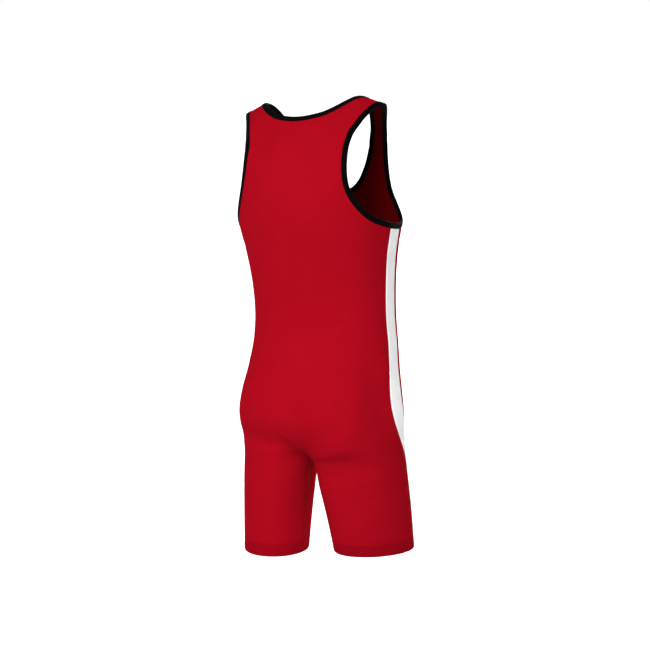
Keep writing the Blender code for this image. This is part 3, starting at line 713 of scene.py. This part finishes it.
def panel_shape(cloth, face):
    """A wall of cloth, trimmed back along its seams, with its hems turned in and rounded"""
    layout = cloth.layouts[face]
    hem_index = {k: row for row, indices in zip(HEM_ROWS, layout.hem_rows) for k in indices}
    places = {}
    rows = {}
    for side in (LEFT, RIGHT):
        for k, (share, run) in enumerate(layout.places):
            key = cloth.same[cloth.starts[face, side] + k]
            places[key] = (side * share, run)
            rows[key] = hem_index.get(k, HEM_ROWS[0])
    triangles = cloth.same[cloth.triangles[face]]
    used = np.unique(triangles)
    order = {key: number for number, key in enumerate(used)}
    triangles = triangles.tolist()

    directed = {}
    for a, b, c in triangles:
        directed.update({(a, b): c, (b, c): a, (c, a): b})
    rim = [(a, b, c) for (a, b), c in directed.items() if (b, a) not in directed]

    # From the rim, seams are trimmed inward and the hem's fold rounds over outward
    reliefs = {key: row.relief for key, row in rows.items()}
    trims = {}
    lows = {}
    for a, b, c in rim:
        along = unit(cloth.points[b] - cloth.points[a])
        across = cloth.points[c] - cloth.points[a]
        inward = unit(across - along * (across @ along))
        sewn = is_seam(np.abs(places[a]), np.abs(places[b]))
        folded = rows[a] is HEM_ROWS[-1] and rows[b] is HEM_ROWS[-1]
        for key in (a, b):
            if sewn:
                trims[key] = trims.get(key, 0) + inward
                reliefs[key] = min(reliefs[key], -SEAM_DIP)
            if folded:
                lows[key] = lows.get(key, 0) - inward
    moved = np.array([unit(trims[key]) * SEAM_GAP / 2 if key in trims else (0, 0, 0) for key in used])
    relief = np.array([[reliefs[key]] for key in used])
    wall = np.array([[rows[key].wall] for key in used])
    normals = cloth.normals[used]
    outer = cloth.points[used] + moved + normals * relief
    inner = outer - normals * (wall + np.minimum(relief, 0.0))

    shift = len(used)
    points = [*outer, *inner]
    uvs = [(places[key][0] * LAYOUT_WIDTH, places[key][1]) for key in used] * 2
    ordered = [[order[key] for key in triangle] for triangle in triangles]
    faces = ordered + [[k + shift for k in triangle[::-1]] for triangle in ordered]
    turned = [min(places[key][1] for key in triangle) >= HEM_LINE_RUN for triangle in triangles]
    materials = [HEM_CLOTH if hem else plain for plain in (OUTER_CLOTH, INNER_CLOTH) for hem in turned]

    # The hem's fold rounds over from the outer wall to the inner one
    arcs = {}
    for key, low in lows.items():
        start = points[order[key]]
        middle = (start + points[order[key] + shift]) / 2
        low = unit(low) * np.linalg.norm(start - middle)
        arcs[key] = [order[key]]
        for step in range(1, FOLD_STEPS):
            turn = math.pi * step / FOLD_STEPS
            arcs[key].append(len(points))
            points.append(middle + (start - middle) * math.cos(turn) + low * math.sin(turn))
            uvs.append((places[key][0] * LAYOUT_WIDTH, HEM_RUN + HEM_WALL * step / FOLD_STEPS))
        arcs[key].append(order[key] + shift)
    for a, b, _ in rim:
        over_a, over_b = [order[a], order[a] + shift], [order[b], order[b] + shift]
        if a in arcs and b in arcs:
            over_a, over_b = arcs[a], arcs[b]
        rim_cloth = HEM_CLOTH if min(places[a][1], places[b][1]) >= HEM_LINE_RUN else OUTER_CLOTH
        for k in range(len(over_a) - 1):
            faces.append([over_b[k], over_a[k], over_a[k + 1]])
            faces.append([over_b[k], over_a[k + 1], over_b[k + 1]])
            materials += [rim_cloth] * 2
    return Shape(np.array(points), faces, uvs, materials)


def ring_shape(rings, closed):
    """Quads between rings of points, with the ends of an open run closed by strips"""
    points = np.stack(rings, axis=1)
    count, size = points.shape[:2]
    faces = []
    for i in range(count if closed else count - 1):
        here, there = i * size, (i + 1) % count * size
        for j in range(size):
            k = (j + 1) % size
            faces.append([here + j, here + k, there + k, there + j])
    if not closed:
        for start, turn in ((0, 1), ((count - 1) * size, -1)):
            for j in range(size // 2 - 1):
                quad = [start + j, start + j + 1, start + size - 2 - j, start + size - 1 - j]
                faces.append(quad[::-turn])
    across = travel(points[0])
    places = [(u, v) for v in travel(points.mean(axis=1)) for u in across]
    return Shape(points.reshape(-1, 3), faces, places)


def binding_chains(cloth, stretches):
    """The points along an opening's edge and along the inner line of its binding"""
    edges = []
    insets = []
    for face, side, name, backward in stretches:
        edge, inset = (cloth.chain(face, side, chain) for chain in getattr(cloth.layouts[face], name))
        if backward:
            edge, inset = edge[::-1], inset[::-1]
        edges += edge[:-1]
        insets += inset[:-1]
    return edges, insets


def binding_shape(cloth, stretches):
    """A folded strip of knit over an opening's edge, rolled and dipped at its stitches"""
    edges, insets = binding_chains(cloth, stretches)
    edge, inset = cloth.points[edges], cloth.points[insets]
    edge_up, inset_up = cloth.normals[edges], cloth.normals[insets]
    past = unit(edge - inset)

    def lay(across, past_edge, height):
        up = unit(mix(inset_up, edge_up, across))
        return mix(inset, edge, across) + past * past_edge + up * height

    middle = -WALL / 2
    reach = SEAM_GAP + BINDING_WALL
    shoulder = SEAM_GAP + BINDING_WALL * BINDING_ROLL[-1][1] - middle
    rings = [lay(across, 0.0, SEAM_GAP + BINDING_WALL * height) for across, height in BINDING_ROLL]
    for step in range(FOLD_STEPS + 1):
        turn = math.pi * step / FOLD_STEPS
        rings.append(lay(1.0, reach * math.sin(turn), middle + shoulder * math.cos(turn)))
    for across, height in BINDING_ROLL[::-1]:
        rings.append(lay(across, 0.0, -WALL - SEAM_GAP - BINDING_WALL * height))
    for across, height in ((0, -WALL - SEAM_GAP), (1, -WALL - SEAM_GAP), (1, SEAM_GAP), (0, SEAM_GAP)):
        rings.append(lay(across, SEAM_GAP / 2 * across, height))
    return ring_shape(rings, True)


def band_rows(cloth, side):
    """The cloth under a side band, row by row from the armhole, round the hem and up inside:
    the points in each row from its back edge to its front edge, and which way is up there"""
    columns = [cloth.chain(BACK, side, column) for column in cloth.layouts[BACK].band]
    front = [cloth.chain(FRONT, side, column) for column in cloth.layouts[FRONT].band]
    columns = np.array(columns + front[-2::-1])
    points = cloth.points[columns].transpose(1, 0, 2)
    ups = cloth.normals[columns].transpose(1, 0, 2)
    low = unit(points[-1] - points[-2])
    middle = points[-1] - ups[-1] * HEM_WALL / 2
    fold_points = []
    fold_ups = []
    for step in range(1, FOLD_STEPS):
        turn = math.pi * step / FOLD_STEPS
        up = ups[-1] * math.cos(turn) + low * math.sin(turn)
        fold_points.append(middle + up * HEM_WALL / 2)
        fold_ups.append(up)
    hem = slice(len(points) - 1, len(points) - len(HEM_ROWS), -1)
    inside = points[hem] - ups[hem] * HEM_WALL
    rows = np.concatenate([points, fold_points, inside])
    return rows, np.concatenate([ups, fold_ups, -ups[hem]])


def band_shape(cloth, side):
    """A flat tape over a side seam, turned in with the hem at its foot"""
    points, ups = band_rows(cloth, side)
    points[0] += unit(points[1] - points[0]) * 2 * SEAM_GAP
    low = SEAM_GAP
    high = SEAM_GAP + BAND_WALL

    def lay(column, inward, height):
        step = unit(points[:, 1 if column == 0 else -2] - points[:, column])
        return points[:, column] + step * inward + ups[:, column] * height

    start = [lay(0, BAND_EDGE_ROUND * inward, mix(low, high, rise)) for inward, rise in BAND_EDGE]
    end = [lay(-1, BAND_EDGE_ROUND * inward, mix(low, high, rise)) for inward, rise in BAND_EDGE[::-1]]
    count = points.shape[1]
    top = [points[:, k] + ups[:, k] * high for k in range(1, count - 1)]
    under = [points[:, k] + ups[:, k] * low for k in range(count - 1, -1, -1)]
    return ring_shape(start + top + end + under, False)


def walk(points, ups, pitch, closed):
    """Points and upward directions at even steps of about a pitch along a path"""
    if closed:
        points = np.vstack([points, points[:1]])
        ups = np.vstack([ups, ups[:1]])
    travelled = travel(points)
    stops = np.linspace(0, travelled[-1], max(2, round(travelled[-1] / pitch) + 1))
    stepped = [np.stack([np.interp(stops, travelled, a[:, k]) for k in range(3)], -1) for a in (points, ups)]
    return stepped[0], unit(stepped[1])


def stitches(starts, ends, ups, cover=1.0):
    """Short bowed lengths of thread from start to end, whose tips dip into the cloth"""
    along = unit(ends - starts)
    aside = unit(np.cross(ups, along))
    ups = np.cross(along, aside)
    middle = (starts + ends) / 2
    half = (ends - starts) / 2 * cover
    rings = []
    places = []
    for share, size in THREAD_RINGS:
        centre = middle + half * (2 * share - 1) + ups * THREAD / 2 * (size - LEVEL_SIZE)
        for k in range(THREAD_SIDES):
            turn = 2 * math.pi * k / THREAD_SIDES
            spoke = aside * math.cos(turn) + ups * math.sin(turn)
            rings.append(centre + spoke * THREAD / 2 * size)
            places.append((k / THREAD_SIDES, share))
    for end in (-1, 1):
        rings.append(middle + half * end - ups * THREAD / 2)
        places.append((0, (end + 1) / 2))
    points = np.stack(rings, axis=1)
    size = points.shape[1]
    tip = size - 2 - THREAD_SIDES
    pattern = []
    for k in range(THREAD_SIDES):
        j = (k + 1) % THREAD_SIDES
        for here in range(0, tip, THREAD_SIDES):
            there = here + THREAD_SIDES
            pattern.append([here + k, here + j, there + j, there + k])
        pattern.append([size - 2, j, k])
        pattern.append([size - 1, tip + k, tip + j])
    faces = [[first + k for k in face] for first in range(0, len(points) * size, size) for face in pattern]
    return Shape(points.reshape(-1, 3), faces, places * len(points))


def join_shapes(shapes):
    """Several shapes as one"""
    points = np.vstack([shape.points for shape in shapes])
    faces = []
    places = []
    materials = []
    first = 0
    for shape in shapes:
        faces += [[k + first for k in face] for face in shape.faces]
        places += shape.places
        materials += shape.materials
        first += len(shape.points)
    return Shape(points, faces, places, materials)


def stitch_row(points, ups, pitch, closed):
    stops, stop_ups = walk(points, ups, pitch, closed)
    return stitches(stops[:-1], stops[1:], stop_ups[:-1], ROW_COVER)


def binding_stitches(cloth, stretches):
    """Two rows of stitches along a binding, and the same on its inner side"""
    edges, insets = binding_chains(cloth, stretches)
    rows = []
    for needle in BINDING_NEEDLES:
        across, height = BINDING_ROLL[needle]
        base = mix(cloth.points[insets], cloth.points[edges], across)
        ups = unit(mix(cloth.normals[insets], cloth.normals[edges], across))
        height = SEAM_GAP + BINDING_WALL * height
        rows.append(stitch_row(base + ups * height, ups, STITCH, True))
        rows.append(stitch_row(base - ups * (WALL + height), -ups, STITCH, True))
    return join_shapes(rows)


def hem_chain(cloth, side, number):
    """One row of a hem right round the leg, and where the band covers it"""
    back = cloth.chain(BACK, side, cloth.layouts[BACK].hem_rows[number])
    front = cloth.chain(FRONT, side, cloth.layouts[FRONT].hem_rows[number])
    width = len(BAND_COLUMNS)
    under_band = [False] * (len(back) - width) + [True] * (2 * width - 1) + [False] * (len(front) - width - 1)
    return back + front[-2:0:-1], under_band


def hem_stitches(cloth, side):
    """Two rows round a hem, and the looped thread between them on its inner side"""
    rows = []
    inner_rows = []
    for number in HEM_NEEDLES:
        chain, under_band = hem_chain(cloth, side, number)
        ups = cloth.normals[chain]
        over = np.where(under_band, SEAM_GAP + BAND_WALL, HEM_ROWS[number].relief)[:, None]
        rows.append(stitch_row(cloth.points[chain] + ups * over, ups, HEM_STITCH, True))
        under = np.where(under_band, SEAM_GAP + BAND_WALL, 0.0)[:, None] + HEM_WALL
        inner_rows.append(walk(cloth.points[chain] - ups * under, -ups, HEM_STITCH, True))
    (upper, ups), (lower, _) = inner_rows
    count = min(len(upper), len(lower)) - 1
    upper, after, lower, ups = upper[:count], upper[1:count + 1], lower[:count], ups[:count]
    rows += [stitches(upper, lower, ups), stitches(lower, after, ups), stitches(upper, after, ups)]
    return join_shapes(rows)


def band_stitches(cloth, side):
    """A row of stitches along each edge of a side band, down to the hem"""
    points, ups = band_rows(cloth, side)
    last = len(cloth.layouts[BACK].band[0]) - len(HEM_ROWS) + 1
    rows = []
    for column, beside in ((0, 1), (-1, -2)):
        step = unit(points[:last, beside] - points[:last, column])
        up = ups[:last, column]
        base = points[:last, column] + step * BAND_NEEDLE_IN + up * (SEAM_GAP + BAND_WALL)
        rows.append(stitch_row(base, up, STITCH, False))
    return join_shapes(rows)


def flatlock(points, ups):
    """A flat seam's ladder of threads: a row on each side and slanted threads between"""
    stops, ups = walk(points, ups, FLATLOCK_PITCH, False)
    aside = unit(np.cross(ups, unit(np.gradient(stops, axis=0)))) * FLATLOCK_REACH
    first = stops + aside
    second = stops - aside
    ups = ups[:-1]
    return join_shapes([
        stitches(first[:-1], second[1:], ups),
        stitches(second[:-1], first[:-1], ups),
        stitches(first[:-1], first[1:], ups, FLATLOCK_COVER),
        stitches(second[:-1], second[1:], ups, FLATLOCK_COVER),
    ])


def seam_stitches(cloth, side, name):
    """The flat seam's threads on the outer and inner sides of a shoulder seam or inseam"""
    chain = cloth.chain(BACK, side, getattr(cloth.layouts[BACK], name))
    if name == "inseam":
        chain = chain[1:-len(HEM_ROWS)]
    points, ups = cloth.points[chain], cloth.normals[chain]
    return join_shapes([flatlock(points, ups), flatlock(points - ups * WALL, -ups)])


# How one knit looks: its colour, its loops to the metre, and how it takes the light
Knit = namedtuple("Knit", "colour wales courses slant depth roughness sheen sheen_tint specular mottle")
JERSEY = Knit((0.360, 0.0030, 0.0107), 1150, 1400, 1.4, 0.00010, 0.75, 0.01, (1.0, 0.25, 0.25), 0.0, 0.04)
KNITS = {
    "red jersey": JERSEY,
    # A darker copy of the red jersey, on the turned hem
    "red jersey darker hem": JERSEY._replace(colour=(0.298, 0.0022, 0.0088)),
    # The inner face's dark red is painted shade: the inside of the garment is drawn far darker than the cloth
    # itself is
    "red jersey reverse painted shade": Knit(
        (0.112, 0.0009, 0.0022), 1150, 1400, 0.0, 0.00012, 0.90, 0.01, (1.0, 0.3, 0.3), 0.0, 0.06
    ),
    "black binding knit": Knit(
        (0.0016, 0.0017, 0.0017), 900, 1250, 0.0, 0.00016, 0.75, 0.003, (0.8, 0.9, 0.9), 0.02, 0.15
    ),
    "white tape knit": Knit(
        (0.96, 0.96, 0.96), 1400, 900, 0.0, 0.00012, 0.70, 0.50, (1.0, 1.0, 1.0), 0.2, 0.02
    ),
}

# How much the loops and the fibres show in a knit's relief, tone and roughness. The loops' part of the tone
# is painted light and shade: lighter on the loops' tops, darker in the hollows between them
LOOP_RELIEF = 0.35
LOOP_PAINTED_SHADE = 0.03
FIBRE_RELIEF = 0.5
KNIT_BUMP = 0.45
ROUGHNESS_SPREAD = 0.05
SHEEN_ROUGHNESS = 0.45

# Noises: scale and detail
BROAD_NOISE = (22.0, 3.0)
FIBRE_NOISE = (1600.0, 2.0)
PAPER_NOISE = (3.0, 2.0)

# The threads' colours, and how their twist shows. The tones along each turn are painted light on its crest
# and painted shade in its groove
THREADS = {
    "red thread": (0.32, 0.0030, 0.0100),
    "black thread": (0.006, 0.006, 0.006),
    "white thread": (0.82, 0.82, 0.82),
}
THREAD_TWIST = 4.0
THREAD_PAINTED_SHADING = (0.95, 1.15)
THREAD_ROUGHNESS = (0.60, 0.45)
THREAD_SHEEN = 0.03
THREAD_SPECULAR = 0.05
THREAD_BUMP = 0.4
THREAD_RIDGE = 0.00006


def new_material(name):
    """A material, its node tree and its shader"""
    material = bpy.data.materials.new(name)
    material.use_nodes = True
    return material, material.node_tree, material.node_tree.nodes["Principled BSDF"]


def fill(tree, node, inputs):
    """Give a node's inputs their values, or link them to other nodes"""
    for name, value in inputs.items():
        if isinstance(value, bpy.types.NodeSocket):
            tree.links.new(value, node.inputs[name])
        else:
            node.inputs[name].default_value = value


def add_node(tree, kind, inputs, **settings):
    node = tree.nodes.new(kind)
    for name, value in settings.items():
        setattr(node, name, value)
    fill(tree, node, inputs)
    return node


def math_node(tree, operation, *values):
    return add_node(tree, "ShaderNodeMath", dict(enumerate(values)), operation=operation).outputs[0]


def wave(tree, turns):
    return math_node(tree, "SINE", math_node(tree, "MULTIPLY", turns, 2 * math.pi))


def noise_node(tree, scale, detail):
    where = add_node(tree, "ShaderNodeTexCoord", {}).outputs["Object"]
    inputs = {"Vector": where, "Scale": scale, "Detail": detail}
    return add_node(tree, "ShaderNodeTexNoise", inputs).outputs["Fac"]


def map_range(tree, value, low, high):
    inputs = {"Value": value, "To Min": low, "To Max": high}
    return add_node(tree, "ShaderNodeMapRange", inputs).outputs["Result"]


def tinted(tree, colour, tone):
    inputs = {0: colour, "Scale": tone}
    return add_node(tree, "ShaderNodeVectorMath", inputs, operation="SCALE").outputs[0]


def relief_node(tree, strength, distance, height):
    inputs = {"Strength": strength, "Distance": distance, "Height": height}
    return add_node(tree, "ShaderNodeBump", inputs).outputs[0]


def cloth_place(tree):
    """The two texture places of a point of cloth or thread"""
    place = add_node(tree, "ShaderNodeUVMap", {}, uv_map=UV_MAP).outputs["UV"]
    return add_node(tree, "ShaderNodeSeparateXYZ", {0: place}).outputs[:2]


def knit_height(tree, knit):
    """The relief of knit stitches, whose columns of slanted loops lie side by side"""
    across, down = cloth_place(tree)
    across = math_node(tree, "MULTIPLY", across, knit.wales)
    down = math_node(tree, "MULTIPLY", down, knit.courses)
    leg = math_node(tree, "PINGPONG", across, 0.5)
    loop = wave(tree, math_node(tree, "ADD", down, math_node(tree, "MULTIPLY", leg, knit.slant)))
    return math_node(tree, "ADD", math_node(tree, "MULTIPLY", loop, LOOP_RELIEF), wave(tree, leg))


def knit_material(name):
    """Knitted cloth with its loops in relief, a soft sheen, an uneven tone, and painted shade in the hollows
    between the loops
    """
    knit = KNITS[name]
    material, tree, shader = new_material(name)
    raised = knit_height(tree, knit)
    broad = noise_node(tree, *BROAD_NOISE)
    fibre = noise_node(tree, *FIBRE_NOISE)
    broad_tone = map_range(tree, broad, 1 - knit.mottle, 1 + knit.mottle)
    fibre_tone = map_range(tree, fibre, -knit.mottle, knit.mottle)
    tone = math_node(tree, "ADD", broad_tone, fibre_tone)
    # Painted light and shade: the tone rises on the raised loops and falls in the hollows between them
    tone = math_node(tree, "ADD", tone, math_node(tree, "MULTIPLY", raised, LOOP_PAINTED_SHADE))
    height = math_node(tree, "ADD", raised, math_node(tree, "MULTIPLY", fibre, FIBRE_RELIEF))
    smooth, rough = knit.roughness - ROUGHNESS_SPREAD, knit.roughness + ROUGHNESS_SPREAD
    fill(tree, shader, {
        "Base Color": tinted(tree, knit.colour, tone),
        "Metallic": 0.0,
        "Roughness": map_range(tree, broad, smooth, rough),
        "Specular IOR Level": knit.specular,
        "Sheen Weight": knit.sheen,
        "Sheen Roughness": SHEEN_ROUGHNESS,
        "Sheen Tint": (*knit.sheen_tint, 1),
        "Normal": relief_node(tree, KNIT_BUMP, knit.depth, height),
    })
    return material


def thread_material(name):
    """Twisted sewing thread, paler along the crest of each turn: painted light on the crests and painted
    shade in the grooves
    """
    material, tree, shader = new_material(name)
    around, along = cloth_place(tree)
    ridge = wave(tree, math_node(tree, "ADD", around, math_node(tree, "MULTIPLY", along, THREAD_TWIST)))
    fill(tree, shader, {
        "Base Color": tinted(tree, THREADS[name], map_range(tree, ridge, *THREAD_PAINTED_SHADING)),
        "Roughness": map_range(tree, ridge, *THREAD_ROUGHNESS),
        "Specular IOR Level": THREAD_SPECULAR,
        "Sheen Weight": THREAD_SHEEN,
        "Normal": relief_node(tree, THREAD_BUMP, THREAD_RIDGE, ridge),
    })
    return material


def add_object(name, data):
    added = bpy.data.objects.new(name, data)
    bpy.context.scene.collection.objects.link(added)
    return added


def add_piece(name, shape, materials, replaced=None):
    """A visible piece from a shape, which rides with the body, takes the given materials and hides the part
    it replaces
    """
    mesh = bpy.data.meshes.new(name)
    mesh.from_pydata([tuple(point) for point in shape.points], [], shape.faces)
    layer = mesh.uv_layers.new(name=UV_MAP)
    corners = np.zeros(len(mesh.loops), int)
    mesh.loops.foreach_get("vertex_index", corners)
    layer.uv.foreach_set("vector", np.array(shape.places, np.float32)[corners].ravel())
    for material in materials:
        mesh.materials.append(material)
    if shape.materials:
        mesh.polygons.foreach_set("material_index", shape.materials)
    solid = bmesh.new()
    solid.from_mesh(mesh)
    bmesh.ops.recalc_face_normals(solid, faces=solid.faces)
    solid.to_mesh(mesh)
    solid.free()
    mesh.shade_smooth()
    mesh.set_sharp_from_angle(angle=SHARP_ANGLE)
    piece = add_object(name, mesh)
    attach(piece, "root")
    if replaced:
        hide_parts(replaced)
    return piece


def build_singlet():
    cloth = Cloth()
    red = [knit_material(name) for name in ("red jersey", "red jersey reverse painted shade", "red jersey darker hem")]
    black = [knit_material("black binding knit")]
    white = [knit_material("white tape knit")]
    red_thread, black_thread, white_thread = [[thread_material(name)] for name in THREADS]

    back = add_piece("back_panel_cloth", panel_shape(cloth, BACK), red, "back_panel")
    front = add_piece("front_panel_cloth", panel_shape(cloth, FRONT), red, "front_panel")
    neck = (
        (BACK, LEFT, "neck", True),
        (FRONT, LEFT, "neck", False),
        (FRONT, RIGHT, "neck", True),
        (BACK, RIGHT, "neck", False),
    )
    piece = add_piece("neck_binding_cloth", binding_shape(cloth, neck), black, "neck_binding")
    rows = add_piece("neck_stitches", binding_stitches(cloth, neck), black_thread)
    for side, word in SIDES:
        armhole = ((BACK, side, "armhole", True), (FRONT, side, "armhole", False))
        shape = binding_shape(cloth, armhole)
        name = "armhole_binding_cloth_" + word
        piece = add_piece(name, shape, black, "armhole_binding_" + word)
        shape = binding_stitches(cloth, armhole)
        rows = add_piece("armhole_stitches_" + word, shape, black_thread)
        shape = band_shape(cloth, side)
        piece = add_piece("side_band_cloth_" + word, shape, white, "side_band_" + word)
        shape = band_stitches(cloth, side)
        rows = add_piece("side_band_stitches_" + word, shape, white_thread)
        for name, shape in (
            ("hem_stitches_", hem_stitches(cloth, side)),
            ("shoulder_stitches_", seam_stitches(cloth, side, "shoulder")),
            ("inseam_stitches_", seam_stitches(cloth, side, "inseam")),
        ):
            add_piece(name + word, shape, red_thread)


# The camera stands behind the wearer's right shoulder, level, a little above the waist
CAMERA_PLACE = Vector((-1.175, 2.035, -0.315))
CAMERA_AIM = Vector((0.5, -0.866, 0.0))
CAMERA_LENS = 67.4
CAMERA_SENSOR = 36.0
CAMERA_SHIFT = (0.016, -0.097)

# The floor lies well below the hems and sweeps up behind the singlet
FLOOR_HEIGHT = -1.30
FLOOR_NEAR = -5.0
FLOOR_FAR = 3.0
SWEEP_RADIUS = 1.6
SWEEP_TOP = 4.0
SWEEP_HALF_WIDTH = 6.0
SWEEP_STEPS = 24
PAPER_ROUGHNESS = 0.9
PAPER_TONES = (0.90, 0.92)

# Soft lamps: where each stands and aims, its width, the degrees that its light fans out
# over and its power, and the even light from all round
Lamp = namedtuple("Lamp", "name place aim size spread power")
LAMPS = (
    Lamp("key", (-0.44, 2.51, 0.85), (0.34, 0.0, -0.58), 1.2, 50, 7.50),
    Lamp("fill", (-2.62, 1.84, 0.20), (-0.10, 0.0, -0.30), 2.0, 80, 3.4),
    Lamp("front", (0.45, -2.60, 0.90), (0.0, 0.0, -0.40), 2.0, 180, 51.0),
    Lamp("backdrop right", (-1.04, -1.41, -0.60), (0.01, -2.42, -1.20), 1.0, 180, 54.0),
    Lamp("backdrop left", (1.74, 0.19, -0.60), (2.09, -1.22, -1.20), 1.0, 180, 54.0),
)
ROOM_LIGHT = 0.34


def turn_towards(direction):
    return direction.to_track_quat("-Z", "Y").to_euler()


def build_camera():
    data = bpy.data.cameras.new("camera")
    data.lens = CAMERA_LENS
    data.sensor_width = CAMERA_SENSOR
    data.shift_x, data.shift_y = CAMERA_SHIFT
    camera = add_object("camera", data)
    camera.location = CAMERA_PLACE
    camera.rotation_euler = turn_towards(CAMERA_AIM)
    bpy.context.scene.camera = camera


def build_lights():
    for lamp in LAMPS:
        data = bpy.data.lights.new(lamp.name, "AREA")
        data.shape = "DISK"
        data.size = lamp.size
        data.spread = math.radians(lamp.spread)
        data.energy = lamp.power
        light = add_object(lamp.name, data)
        light.location = lamp.place
        light.rotation_euler = turn_towards(Vector(lamp.aim) - Vector(lamp.place))
    world = bpy.data.worlds.new("studio")
    world.use_nodes = True
    background = world.node_tree.nodes["Background"]
    background.inputs["Color"].default_value = (1.0, 1.0, 1.0, 1)
    background.inputs["Strength"].default_value = ROOM_LIGHT
    bpy.context.scene.world = world
    bpy.context.scene.view_settings.view_transform = "Standard"


def build_floor():
    """A pale paper floor that sweeps up into a backdrop"""
    profile = [(FLOOR_NEAR, FLOOR_HEIGHT), (FLOOR_FAR - SWEEP_RADIUS, FLOOR_HEIGHT)]
    for step in range(1, SWEEP_STEPS + 1):
        turn = math.pi / 2 * step / SWEEP_STEPS
        away = FLOOR_FAR - SWEEP_RADIUS + SWEEP_RADIUS * math.sin(turn)
        profile.append((away, FLOOR_HEIGHT + SWEEP_RADIUS * (1 - math.cos(turn))))
    profile.append((FLOOR_FAR, SWEEP_TOP))
    sideways = CAMERA_AIM.cross(Vector((0, 0, 1)))
    points = []
    for away, height in profile:
        for hand in (-1, 1):
            point = CAMERA_AIM * away + sideways * SWEEP_HALF_WIDTH * hand
            points.append((point.x, point.y, height))
    faces = [[2 * k, 2 * k + 1, 2 * k + 3, 2 * k + 2] for k in range(len(profile) - 1)]
    mesh = bpy.data.meshes.new("floor")
    mesh.from_pydata(points, [], faces)
    mesh.shade_smooth()
    floor = add_object("floor", mesh)
    material, tree, shader = new_material("pale paper")
    tone = map_range(tree, noise_node(tree, *PAPER_NOISE), *PAPER_TONES)
    paper = add_node(tree, "ShaderNodeCombineColor", {0: tone, 1: tone, 2: tone}).outputs[0]
    fill(tree, shader, {"Base Color": paper, "Roughness": PAPER_ROUGHNESS})
    mesh.materials.append(material)


build_singlet()
build_camera()
build_lights()
build_floor()
